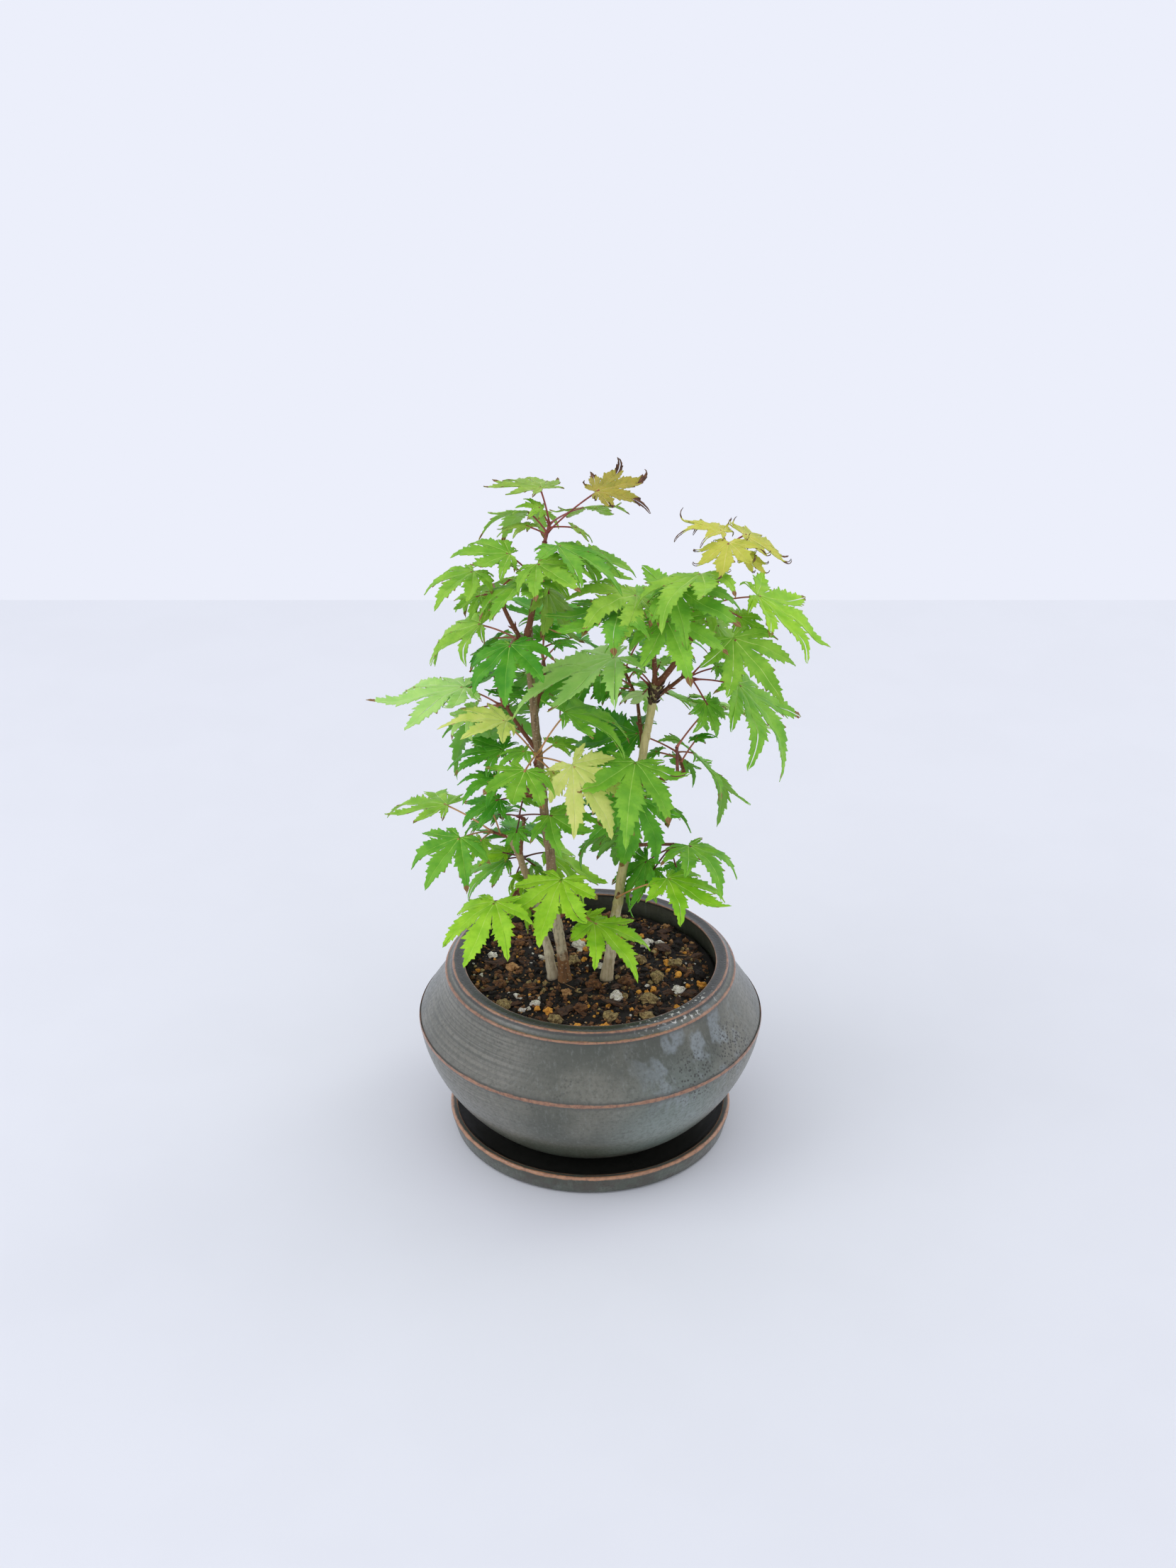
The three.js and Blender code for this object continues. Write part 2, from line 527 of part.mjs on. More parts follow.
function buildPlanting() {
  const group = new THREE.Group();
  const taken = [];
  const addVessel = (name, solid, finish) => {
    taken.push(asNeighbour(name, solid));
    group.add(named(name, geometryOf(solid), finish));
  };
  addVessel('saucer', solidOf(saucerGeometry()), FINISH.glaze);
  addVessel('pot', solidOf(potGeometry()), FINISH.glaze);
  const bed = stoneGeometries().reduce((soil, stone) => soil.add(solidOf(stone)), solidOf(soilGeometry()));
  addVessel('soil', bed, FINISH.soil);

  const limbs = new Map();
  const addLimb = (limb, finish) => {
    limbs.set(limb.name, limb);
    taken.push(limb.room);
    group.add(named(limb.name, geometryOf(limb.solid), finish));
  };
  STEMS.forEach((stem) => addLimb(growStem(stem), FINISH.bark));
  BOUGHS.forEach((bough) => addLimb(growBough(bough, limbs, taken), FINISH.shoot));

  const twigs = SPRAYS.map((spray) => {
    const twig = growTwig(spray, limbs, taken);
    twig.room = asNeighbour(spray.name, twig.solid);
    taken.push(twig.room);
    return twig;
  });
  SPRAYS.forEach((spray, i) => {
    const others = taken.filter((neighbour) => neighbour.name !== spray.name);
    const leaves = growLeaves(spray, i + 1, twigs[i], others);
    taken.push(...leaves.map((leaf) => leaf.room));
    const mass = leaves.reduce((whole, leaf) => whole.add(leaf.solid), twigs[i].solid);
    group.add(named(spray.name, geometryOf(mass), FINISH.leaf));
  });
  return group;
}

export default buildPlanting();
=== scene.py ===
# Looks of a small bonsai planting of japanese maple: three slim stems from one root, in a round stoneware
# pot that stands in its own saucer. Sizes are millimetres, in the frame of the part's own source, and
# every mesh is brought to metres as it is made.
import math
import random

import bpy
from mathutils import Matrix, Vector, kdtree, noise
from mathutils.bvhtree import BVHTree


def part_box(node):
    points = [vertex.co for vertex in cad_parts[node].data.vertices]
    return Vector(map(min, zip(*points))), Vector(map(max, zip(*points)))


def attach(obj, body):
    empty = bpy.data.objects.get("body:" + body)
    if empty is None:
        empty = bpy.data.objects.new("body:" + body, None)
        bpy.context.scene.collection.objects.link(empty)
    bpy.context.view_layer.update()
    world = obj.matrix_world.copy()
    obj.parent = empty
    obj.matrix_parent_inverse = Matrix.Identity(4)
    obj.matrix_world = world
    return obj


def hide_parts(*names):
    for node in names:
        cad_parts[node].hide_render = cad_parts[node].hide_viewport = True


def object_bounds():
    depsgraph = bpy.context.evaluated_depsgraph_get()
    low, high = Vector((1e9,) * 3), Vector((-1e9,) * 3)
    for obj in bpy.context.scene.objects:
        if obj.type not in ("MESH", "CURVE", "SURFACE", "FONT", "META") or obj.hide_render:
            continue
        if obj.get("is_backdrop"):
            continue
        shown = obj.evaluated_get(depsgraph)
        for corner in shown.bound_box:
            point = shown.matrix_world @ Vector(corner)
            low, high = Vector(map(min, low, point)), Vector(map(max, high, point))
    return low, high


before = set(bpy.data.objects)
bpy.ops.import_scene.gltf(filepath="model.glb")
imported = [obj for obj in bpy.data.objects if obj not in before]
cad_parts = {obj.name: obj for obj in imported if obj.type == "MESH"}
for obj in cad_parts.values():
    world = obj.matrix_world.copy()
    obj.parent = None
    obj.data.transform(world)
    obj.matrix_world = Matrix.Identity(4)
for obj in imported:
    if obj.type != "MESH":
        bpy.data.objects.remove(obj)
cad_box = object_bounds()

# ---------------------------------------------------------------- driving dimensions, as in the source
MM = 0.001
UP = Vector((0, 0, 1))

SAUCER = {"foot_radius": 51.4, "rim_radius": 54, "height": 8.3, "wall": 3, "floor": 3, "bevel": 1.2}
POT = {
    "stand_height": 3.3, "foot_radius": 30, "foot_ring": 5, "foot_recess": 2.5, "drain_radius": 6,
    "floor": 7, "wall": 5, "belly_radius": 65, "belly_height": 47.8, "bowl_power": 1.6,
    "shoulder_leaves": (-2, 5), "shoulder_arrives": (1.5, -8),
    "neck_radius": 54.5, "neck_height": 68.2, "lip_radius": 51.6, "lip_height": 70.8, "mouth_radius": 47,
    "cavity_radius": 46, "cavity_height": 22, "mouth_depth": 6,
}
SOIL = {"level": 65, "edge_drop": 1.2, "flat_radius": 38}
STONES = {
    "count": 38, "reach": 43, "size": (3, 5.4), "shape": (1.1, 0.95, 0.75), "sunk": 0.1, "clear_of_stems": 7,
    "seed": 90,
}
GOLDEN_ANGLE = 137.5
GAP = 0.3

# Foot and lean are X and Y, girth is the diameter at foot and tip.
STEMS = {
    "stem_tall": dict(foot=(-9.5, -6.4), lean=(-12.8, 3.4), height=138.5, bow=(-0.6, 0), girth=(4.2, 2.7),
                      flare=1.3, knot=1.1),
    "stem_right": dict(foot=(6.1, -4.9), lean=(17.1, 1.9), height=119.7, bow=(-0.8, 0), girth=(4.1, 2.9),
                       flare=1.1, knot=1.4),
    "stem_low": dict(foot=(-14.1, -3.9), lean=(-15.4, 5.4), height=57.2, bow=(1.6, 0.6), girth=(3.6, 2.4),
                     flare=0.9, knot=0.5),
}
FLARE_REACH = 5
KNOT_REACH = 3.5

# Stem, share of its length, heading and rise in degrees, length, lift, and girth at foot and tip.
BOUGHS = {
    "bough_leader_left": ("stem_tall", 0.995, 24, 77, 35.5, 3, 2.3, 1.6),
    "bough_side_left": ("stem_tall", 0.965, 144, 42, 18, 20, 1.9, 1.4),
    "bough_mid_left": ("stem_tall", 0.68, 144, 36, 20, 16, 1.7, 1.2),
    "bough_front_left": ("stem_tall", 0.6, 260, 44, 16, 8, 1.7, 1.2),
    "bough_back_left": ("stem_tall", 0.78, 78, 24, 20, 14, 1.6, 1.2),
    "bough_leader_right": ("stem_right", 0.995, 17, 46, 56, 34, 2.3, 1.5),
    "bough_inner_right": ("stem_right", 0.985, 100, 74, 17, 4, 2, 1.4),
    "bough_outer_right": ("stem_right", 0.96, 32, 14, 14, 16, 1.7, 1.3),
    "bough_mid_right": ("stem_right", 0.67, 352, 14, 18, 10, 1.9, 1.4),
    "bough_low_right": ("stem_right", 0.46, 13, 0, 18, -10, 1.5, 1.1),
    "bough_back_right": ("stem_right", 0.78, 96, 26, 22, 14, 1.6, 1.2),
    "bough_shoot_low": ("stem_low", 0.84, 40, 76, 15, 8, 1.6, 1.2),
    "bough_low_left": ("stem_low", 0.42, 218, 48, 17, 10, 1.4, 1),
}

# Limb, share of its length, heading, rise, length, pairs, turn and spread; then the stalks, blades and droops
# of a pair's two leaves, the places that have lost their leaf, the tint of each leaf in turn, and the tint
# of the stalks. A spray's seed is its place in this list.
SPRAYS = {
    "foliage_knot_right": ("stem_right", 0.985, 137, 10, 3, 1, 228, 59,
        (16.5, 18), (42, 42.5), (6, 31), (), "mid blue", "red"),
    "foliage_mid_left": ("bough_mid_left", 1, 150, -2, 3, 2, 135, 52,
        (13, 14.5), (35, 36), (36, 16), (1,), "deep deep deep blue", "pink"),
    "foliage_front_left": ("bough_front_left", 1, 288, 52, 8.5, 2, 135, 54,
        (19, 16), (23, 30), (9, 41), (), "pale pale fresh mid", "tan"),
    "foliage_top_left": ("bough_leader_left", 1, 73, 39, 7, 2, 162, 45,
        (22.5, 13), (24, 24.5), (12, 37), (), "bronze fresh worn worn", "red"),
    "foliage_top_right": ("bough_leader_right", 1, 324, 54, 4.5, 2, 273, 51,
        (6, 6.5), (26, 21.5), (42, 31), (0,), "gold", "red"),
    "foliage_leader_right": ("bough_leader_right", 0.55, 334, 54, 7.5, 1, 315, 52,
        (15, 17.5), (34, 33.5), (36, 29), (), "spring fresh", "pink"),
    "foliage_inner_right": ("bough_inner_right", 1, 265, 55, 7.5, 2, 139, 19,
        (20.5, 20), (29.5, 29.5), (21, 37), (), "fresh mid mid mid", "pink"),
    "foliage_outer_right": ("bough_outer_right", 1, 301, 10, 7, 2, 262, 37,
        (16, 31), (34.5, 29.5), (40, 50), (0, 3), "mid fresh mid mid", "red"),
    "foliage_leader_left": ("bough_leader_left", 0.45, 246, 64, 11.5, 2, 85, 37,
        (9, 7), (22.5, 24), (16, 15), (), "fresh", "red"),
    "foliage_upper_mid": ("bough_leader_left", 0.88, 316, -21, 3, 2, 90, 68,
        (6.5, 12.5), (27, 22), (26, 4), (2,), "mid worn mid fresh", "red"),
    "foliage_upper_left": ("bough_side_left", 1, 137, 45, 4.5, 1, 41, 63,
        (17.5, 12.5), (21.5, 25.5), (24, 29), (), "fresh", "red"),
    "foliage_knot_left": ("stem_tall", 0.985, 207, 25, 5, 1, 3, 56,
        (16, 13.5), (28, 27.5), (26, 28), (), "deep fresh", "pink"),
    "foliage_centre_right": ("bough_leader_right", 0.3, 39, 53, 11.5, 1, 209, 71,
        (6, 14), (27, 32), (51, 26), (), "fresh mid", "red"),
    "foliage_mid_right": ("bough_mid_right", 1, 101, 12, 12, 1, 199, 72,
        (7, 15), (34, 33), (40, 26), (), "mid deep", "pink"),
    "foliage_stem_right": ("stem_right", 0.7, 259, -18, 3, 1, 269, 71,
        (6, 16.5), (29.5, 32.5), (28, 36), (), "deep mid", "red"),
    "foliage_stem_low": ("stem_low", 0.8, 83, -18, 8.5, 2, 78, 77,
        (8.5, 7), (28.5, 25.5), (38, 20), (), "deep spring spring mid", "dark"),
    "foliage_low_left": ("bough_low_left", 1, 246, -16, 7.5, 1, 89, 51,
        (12, 12), (31.5, 30), (33, 26), (), "spring", "dark"),
    "foliage_low_front": ("stem_tall", 0.18, 341, 52, 9.5, 2, 43, 49,
        (18, 16.5), (31, 27.5), (51, 13), (), "spring", "tan"),
    "foliage_stub": ("stem_low", 0.97, 191, 25, 8, 1, 183, 42,
        (21, 23), (27.5, 25), (11, 21), (), "fresh mid", "tan"),
    "foliage_shoot_low": ("bough_shoot_low", 1, 209, 33, 3, 1, 25, 86,
        (19, 10), (23, 23), (17, 11), (), "mid deep", "dark"),
    "foliage_shade_left": ("stem_tall", 0.53, 188, 34, 10, 2, 114, 29,
        (20.5, 13), (25, 17.5), (42, 12), (2,), "deep", "dark"),
    "foliage_long_stalk": ("stem_right", 0.3, 263, 14, 7, 1, 214, 54,
        (26, 26.5), (30, 28), (26, 22), (0,), "spring", "tan"),
    "foliage_low_right": ("bough_low_right", 1, 245, 6, 4.5, 1, 31, 62,
        (12.5, 9), (25, 25.5), (15, 48), (), "mid deep", "dark"),
    "foliage_riser_right": ("bough_mid_right", 0.85, 125, 86, 11, 1, 23, 61,
        (20, 20.5), (30, 32), (26, 51), (0,), "blue", "pink"),
    "foliage_back_left": ("bough_back_left", 1, 97, 14, 12, 2, 94, 60,
        (14, 12), (29, 25), (30, 30), (), "deep", "pink"),
    "foliage_back_right": ("bough_back_right", 1, 119, 39, 12, 2, 20, 60,
        (14, 12), (29, 25), (30, 30), (), "deep", "pink"),
    "foliage_back_low": ("stem_right", 0.5, 106, 13, 11, 2, 104, 50,
        (14, 12), (27, 24), (30, 30), (), "deep", "pink"),
}

TWIG = {"foot_radius": 0.65, "tip_radius": 0.5}
PETIOLE = {"arch": 0.07, "sunk": 1.5}
BLADE = {"cup": 0.16, "belly_at": 0.5, "belly_width": 0.135, "sinus": 0.36, "thickness": 0.22}
LOBES = [(-112, 0.34), (-74, 0.62), (-37, 0.86), (0, 1), (37, 0.86), (74, 0.62), (112, 0.34)]
STRAY = {"yaw": 4, "petiole": 0.05, "blade": 0.06, "droop": 5, "roll": 16}
SWINGS = (0, 8, -8, 16, -16, 28, -28)
LIFTS = (0, 10, -10)
SAME_PLACE = 0.05  # a leaf tip this near to a vertex of its mass is that leaf

# ---------------------------------------------------------------- finer features than the source's
LIMB_STEP = 0.7  # between two rings of points along a limb, and the half length of a leaf scar's ring
BARK = {"sunk": 1.6, "spread": 1.05, "waver": 0.5, "bends": 9, "inset": 0.08}
SCARS = {"first": 9.0, "apart": (9, 17), "clear_of_tip": 4, "height": 0.2}
STEM_SEED, KNOT_SEED, GRAIN_SEED, LEAF_SEED = 40, 70, 11, 100

# Name of the finish, colours from the foot up with the height at which each starts, and the streaks' colour.
STEM_BARKS = {
    "stem_tall": ("thin_brown_bark", [("#8a6038", 0), ("#d2c3a0", 77), ("#9a7e5e", 104)], "#4a3524"),
    "stem_right": ("thin_khaki_bark", [("#cfbd98", 0), ("#e6dab8", 71), ("#cfc084", 92)], "#a08d5c"),
    "stem_low": ("thin_grey_brown_bark", [("#cfc1a2", 0), ("#ded1b0", 72), ("#b2986f", 98)], "#8a7452"),
}

# How many bud scales are crowded on the end of each tall stem, how long they are, how far down they reach,
# how far out they lean in degrees, and their colours.
KNOTS = {
    "stem_tall": dict(count=16, length=2.8, down=5, lean=22, colours=("#978571", "#6a5644")),
    "stem_right": dict(count=30, length=3.4, down=8, lean=32, colours=("#5a3d29", "#33211a")),
}
SCALE = {"strays": (-0.3, 0.3), "sunk": 0.8, "lengths": (0.6, 1.0), "leans": (0.6, 1.3), "width": 0.34,
         "taper": 0.7, "thick": 0.45}
BUD = {"at": (0.5, 0.94), "length": 2.0, "width": 0.55, "lean": 30}
# A bough's swellings near its foot, at the leaf scar half way up and at its tip: where, as a share of its
# length and in millimetres beyond that, how far each one reaches, and how high it is.
SWELLINGS = ((0, 2.2, 1.6, 0.35), (0.5, 0, 0.6, 0.2), (1, 0, 1, 0.14))


# ---------------------------------------------------------------- meshes and objects
def deselect_all():
    if bpy.context.object and bpy.context.object.mode != "OBJECT":
        bpy.ops.object.mode_set(mode="OBJECT")
    bpy.ops.object.select_all(action="DESELECT")


def make_active(piece):
    deselect_all()
    piece.select_set(True)
    bpy.context.view_layer.objects.active = piece


class Heap:
    """Many small things of one kind, in millimetres, waiting to be joined into one piece. Each face has its
    material's number, each vertex may have named values that a material reads, and each thing may have a
    CAD node that it stands for."""

    def __init__(self):
        self.vertices, self.faces, self.kinds, self.nodes, self.values = [], [], [], [], {}

    def add(self, vertices, faces, kinds=None, owner=None, **values):
        first = len(self.vertices)
        self.vertices.extend(vertices)
        self.faces.extend(tuple(i + first for i in face) for face in faces)
        self.kinds.extend(kinds or [0] * len(faces))
        for name, numbers in values.items():
            self.values.setdefault(name, []).extend(numbers)
        if owner and owner not in self.nodes:
            self.nodes.append(owner)

    def joined(self, name, materials, smooth=True):
        mesh = bpy.data.meshes.new(name)
        mesh.from_pydata([Vector(v) * MM for v in self.vertices], [], self.faces)
        for material in materials:
            mesh.materials.append(material)
        mesh.polygons.foreach_set("material_index", self.kinds)
        mesh.polygons.foreach_set("use_smooth", [smooth] * len(mesh.polygons))
        for value, numbers in self.values.items():
            mesh.attributes.new(value, "FLOAT", "POINT").data.foreach_set("value", numbers)
        mesh.update()
        piece = bpy.data.objects.new(name, mesh)
        bpy.context.scene.collection.objects.link(piece)
        return piece


def stand_for(piece, slot, *nodes):
    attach(piece, "root")
    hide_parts(*nodes)


def close_up():
    """Welds the mesh being edited, turns its faces outward and leaves edit mode."""
    bpy.ops.mesh.select_all(action="SELECT")
    bpy.ops.mesh.remove_doubles(threshold=MM / 500)
    bpy.ops.mesh.normals_make_consistent(inside=False)
    bpy.ops.object.mode_set(mode="OBJECT")


def spun(name, profile, steps):
    """Draws a [radius, height] profile vertex by vertex, spins it round the upright axis and closes it."""
    deselect_all()
    points = [Vector((radius, 0, height)) * MM for radius, height in profile]
    bpy.ops.mesh.primitive_plane_add(size=MM, location=points[0])
    piece = bpy.context.object
    piece.name = name
    bpy.ops.object.transform_apply(location=True)
    bpy.ops.object.mode_set(mode="EDIT")
    bpy.ops.mesh.select_all(action="SELECT")
    bpy.ops.mesh.merge(type="CENTER")
    for here, there in zip(points, points[1:]):
        bpy.ops.mesh.extrude_region_move(TRANSFORM_OT_translate={"value": there - here})
    bpy.ops.mesh.select_all(action="SELECT")
    bpy.ops.mesh.spin(steps=steps, angle=math.tau, center=(0, 0, 0), axis=(0, 0, 1))
    close_up()
    bpy.ops.object.shade_smooth_by_angle(angle=math.radians(50))
    return piece


# ---------------------------------------------------------------- curves
def compass(heading, rise):
    heading, rise = math.radians(heading), math.radians(rise)
    level = math.cos(rise)
    return Vector((level * math.cos(heading), level * math.sin(heading), math.sin(rise)))


class Bend:
    """A quadratic curve whose points are asked for by share of its length."""

    PARTS = 200

    def __init__(self, start, middle, end):
        self.ends = (start, middle, end)
        points = [self.point(i / self.PARTS) for i in range(self.PARTS + 1)]
        self.lengths = [0.0]
        for a, b in zip(points, points[1:]):
            self.lengths.append(self.lengths[-1] + (b - a).length)
        self.length = self.lengths[-1]

    def point(self, t):
        start, middle, end = self.ends
        return start * (1 - t) ** 2 + middle * (2 * t * (1 - t)) + end * t ** 2

    def at(self, share):
        target = share * self.length
        part = 0
        while part < self.PARTS - 1 and self.lengths[part + 1] < target:
            part += 1
        span = self.lengths[part + 1] - self.lengths[part]
        return self.point((part + (target - self.lengths[part]) / span) / self.PARTS)


def stem_curve(stem):
    start = Vector((*stem["foot"], SOIL["level"] + GAP))
    end = start + Vector((*stem["lean"], stem["height"]))
    return Bend(start, start.lerp(end, 0.5) + 2 * Vector((*stem["bow"], 0)), end)


def shoot_curve(start, heading, rise, length, lift=0):
    middle = start + compass(heading, rise) * (length / 2)
    return Bend(start, middle, middle + compass(heading, rise + lift) * (length / 2))


def seeded(seed):
    """A repeatable run of numbers from -1 to 1, the same as the source's."""
    state = seed * 7919

    def following():
        nonlocal state
        state = (state * 1664525 + 1013904223) % 2 ** 32
        return state / 2 ** 31 - 1

    following()
    following()
    return following


def mix(a, b, share):
    return a + (b - a) * share


def ease(share):
    share = min(1, max(0, share))
    return share * share * (3 - 2 * share)


# ---------------------------------------------------------------- material tools
def srgb(code):
    """A hex colour as the linear numbers that a shader takes."""
    channels = [int(code[i:i + 2], 16) / 255 for i in (1, 3, 5)]
    return (*[c / 12.92 if c <= 0.04045 else ((c + 0.055) / 1.055) ** 2.4 for c in channels], 1)


class Surface:
    """A material while it is built up: its colour so far, with patterns in the part's own coordinates."""

    def __init__(self, name, colour):
        self.material = bpy.data.materials.new(name)
        self.material.use_nodes = True
        self.tree = self.material.node_tree
        self.tree.nodes.clear()
        self.place = self.add("TexCoord", "Object")
        self.colour = colour

    def add(self, kind, output, sockets=(), **settings):
        """Adds a node with its settings and links, and gives one of its outputs. The sockets are named, or
        in the node's own order, and each takes a number, a hex colour or the output of another node."""
        made = self.tree.nodes.new("ShaderNode" + kind)
        for name, value in settings.items():
            setattr(made, name, value)
        named = sockets if isinstance(sockets, dict) else dict(enumerate(sockets))
        for name, value in named.items():
            if isinstance(value, bpy.types.NodeSocket):
                self.tree.links.new(value, made.inputs[name])
            else:
                made.inputs[name].default_value = srgb(value) if isinstance(value, str) else value
        return made.outputs[output] if made.outputs else None

    def lumps(self, size_mm, detail=3, roughness=0.55, stretch=None):
        """Noise from 0 to 1 in lumps about size_mm across, longer on an axis where stretch is small."""
        place = self.place
        if stretch:
            place = self.add("Mapping", "Vector", {"Vector": place, "Scale": stretch})
        sockets = {"Vector": place, "Scale": 1 / (size_mm * MM), "Detail": detail, "Roughness": roughness}
        return self.add("TexNoise", "Fac", sockets)

    def near(self, spot, inner_mm, outer_mm, most=1.0, least=0.0):
        """A factor for mask: most within inner_mm of a spot, and least from outer_mm on."""
        away = self.add("VectorMath", "Value", (self.place, Vector(spot) * MM), operation="DISTANCE")
        return away, inner_mm * MM, outer_mm * MM, most, least

    def mask(self, *factors):
        """The product of its factors. Each is a number, a socket or a smooth step, which is given as a value,
        where it starts and ends, and what it gives there if that isn't 0 and 1."""
        whole = None
        for factor in factors:
            if isinstance(factor, tuple):
                step = (*factor, 0, 1)[:5]
                factor = self.add("MapRange", 0, step, interpolation_type="SMOOTHSTEP")
            if whole is not None:
                factor = self.add("Math", 0, (whole, factor), operation="MULTIPLY")
            whole = factor
        return whole

    def cover(self, colour, *factors):
        """Lays a colour over what is there, by the product of the factors."""
        sockets = {0: self.mask(*factors), 6: self.colour, 7: colour}
        self.colour = self.add("Mix", 2, sockets, data_type="RGBA")

    def finished(self, sockets, relief=None, depth_mm=0.0, strength=0.0):
        """The material, with its relief and with the shader's other sockets."""
        if relief is not None:
            height = {"Height": relief, "Distance": depth_mm * MM, "Strength": strength}
            sockets = {**sockets, "Normal": self.add("Bump", "Normal", height)}
        shader = self.add("BsdfPrincipled", "BSDF", {"Base Color": self.colour, **sockets})
        self.add("OutputMaterial", None, {"Surface": shader})
        return self.material


# ---------------------------------------------------------------- materials
def worn_rings(glaze, outline, ridges, widened=1.0):
    """1 on the rings where the glaze has run thin, given as (radius, height, half width), 0 elsewhere."""
    patchy = glaze.lumps(9, 4, 0.65)
    worn = 0
    for radius, height, half_width in ridges:
        ring = (radius * MM, height * MM, 0)
        away = glaze.add("VectorMath", "Value", (outline, ring), operation="DISTANCE")
        reach = half_width * widened * MM
        wide = glaze.mask((patchy, 0.3, 0.7, 0.7 * reach, 1.35 * reach))
        share = glaze.add("Math", 0, (away, wide), operation="DIVIDE")
        worn = glaze.add("Math", 0, (worn, glaze.mask((share, 0.5, 1.15, 1, 0))), operation="MAXIMUM")
    return worn


def stoneware_glaze(name, ridges, body, inside=None):
    """Reduction-fired stoneware under a thin satin iron glaze: dark grey-green clouded with lavender grey,
    with fine throwing rings, pinholes where gas came out, and the two colours of the body where the glaze
    ran off each ridge. Painted sheen lightens the left shoulder and the front of the bowl, and pale blue-grey
    streaks of painted reflection run down the right shoulder. Within the radius inside, it is painted near
    black as the shade under the pot's overhang, and glossy."""
    glaze = Surface(name, "#484b3f")
    height = glaze.add("SeparateXYZ", "Z", (glaze.place,))
    flat = glaze.add("Mapping", "Vector", {"Vector": glaze.place, "Scale": (1, 1, 0)})
    radius = glaze.add("VectorMath", "Value", (flat,), operation="LENGTH")
    outline = glaze.add("CombineXYZ", 0, (radius, height))
    mottle = glaze.lumps(1.4, 5, 0.7)

    # Clouds, the greener foot, and two broad patches of painted sheen, on the left shoulder and on the front
    # of the bowl.
    glaze.cover("#706f62", (glaze.lumps(30, 3, 0.5), 0.38, 0.64))
    glaze.cover("#4e5546", (height, 8 * MM, 44 * MM, 0.75, 0))
    glaze.cover("#7c796e", glaze.near((-40, -38, 58), 10, 42, 0.8))
    glaze.cover("#7d8a82", glaze.near((30, -50, 32), 6, 34, 0.85))

    # Pale blue-grey streaks of painted reflection down the right shoulder, fine streaks, throwing rings and
    # mottling.
    reflected_streaks = glaze.lumps(6, 2, 0.45, (1, 1, 0.45))
    glaze.cover("#8f989b", (reflected_streaks, 0.5, 0.62), glaze.near((40, -44, 57), 10, 36, 0.62))
    glaze.cover("#8c9089", (glaze.lumps(1.2, 4, 0.65, (1, 1, 0.12)), 0.5, 0.72, 0, 0.3))
    turned = glaze.lumps(1.1, 2, 0.6, (0, 0, 1))
    glaze.cover("#43463f", glaze.near((-46, -32, 58), 14, 44, 0.6, 0.1), (turned, 0.42, 0.6))
    glaze.cover("#44473c", (mottle, 0.42, 0.72, 0, 0.6))

    # The pot's lip is darker, and both feet have dark brown patches that fade out upwards.
    on_lip = 0
    if not inside:
        on_lip = glaze.mask((height, (POT["lip_height"] - 1.5) * MM, (POT["lip_height"] - 0.9) * MM, 0, 0.92))
        glaze.cover("#252521", on_lip)
    glaze.cover("#453a30", (glaze.lumps(8, 4, 0.6), 0.48, 0.6), (height, 8 * MM, 24 * MM, 0.6, 0))

    # Pinholes, crowded in two places, and pale deposits on the lip.
    crowded = on_lip
    for factor in (glaze.near((38, -50, 50), 5, 15), glaze.near((54, -34, 52), 7, 16),
                   (glaze.lumps(14, 2, 0.5), 0.58, 0.68, 0, 0.45)):
        crowded = glaze.add("Math", 0, (crowded, glaze.mask(factor)), operation="MAXIMUM")
    cells = {"Vector": glaze.place, "Scale": 1 / (1.25 * MM)}
    pits = glaze.mask((glaze.add("TexVoronoi", "Distance", cells), 0.26, 0.42, 1, 0), crowded)
    glaze.cover("#2c2b25", pits, 0.85)
    glaze.cover("#cfcdc4", (glaze.lumps(1.3, 2, 0.5), 0.58, 0.66), glaze.near((34, -40, 74), 10, 26, 0.85),
                (height, 66.5 * MM, 69 * MM))

    # The body's colours on the ridges, in a darker seam of glaze.
    glaze.cover("#474740", worn_rings(glaze, outline, ridges, 2.6), 0.55)
    worn = worn_rings(glaze, outline, ridges)
    bare = {0: glaze.mask((mottle, 0.4, 0.65)), 6: body[0], 7: body[1]}
    glaze.cover(glaze.add("Mix", 2, bare, data_type="RGBA"), worn)
    # The inside of the saucer, under the overhang of the pot's belly, is painted near black as shade.
    if inside:
        within = (radius, (inside - 0.4) * MM, (inside + 0.4) * MM, 1, 0)
        above = (height, SAUCER["floor"] * 0.6 * MM, SAUCER["floor"] * 0.8 * MM)
        black = {0: glaze.mask((mottle, 0.3, 0.7)), 6: "#20201d", 7: "#30302b"}
        glaze.cover(glaze.add("Mix", 2, black, data_type="RGBA"), within, above)

    smoother = glaze.mask(worn, -0.08)
    rough = glaze.add("Math", 0, (glaze.mask((mottle, 0.3, 0.7, 0.28, 0.44)), smoother), operation="ADD")
    relief = glaze.add("Math", 0, (glaze.mask(mottle, 0.4), pits), operation="SUBTRACT")
    relief = glaze.add("Math", 0, (relief, glaze.mask(turned, 0.5)), operation="ADD")
    sockets = {"Roughness": rough, "Coat Weight": 0.3, "Coat Roughness": 0.25}
    return glaze.finished(sockets, relief, 0.14, 0.45)


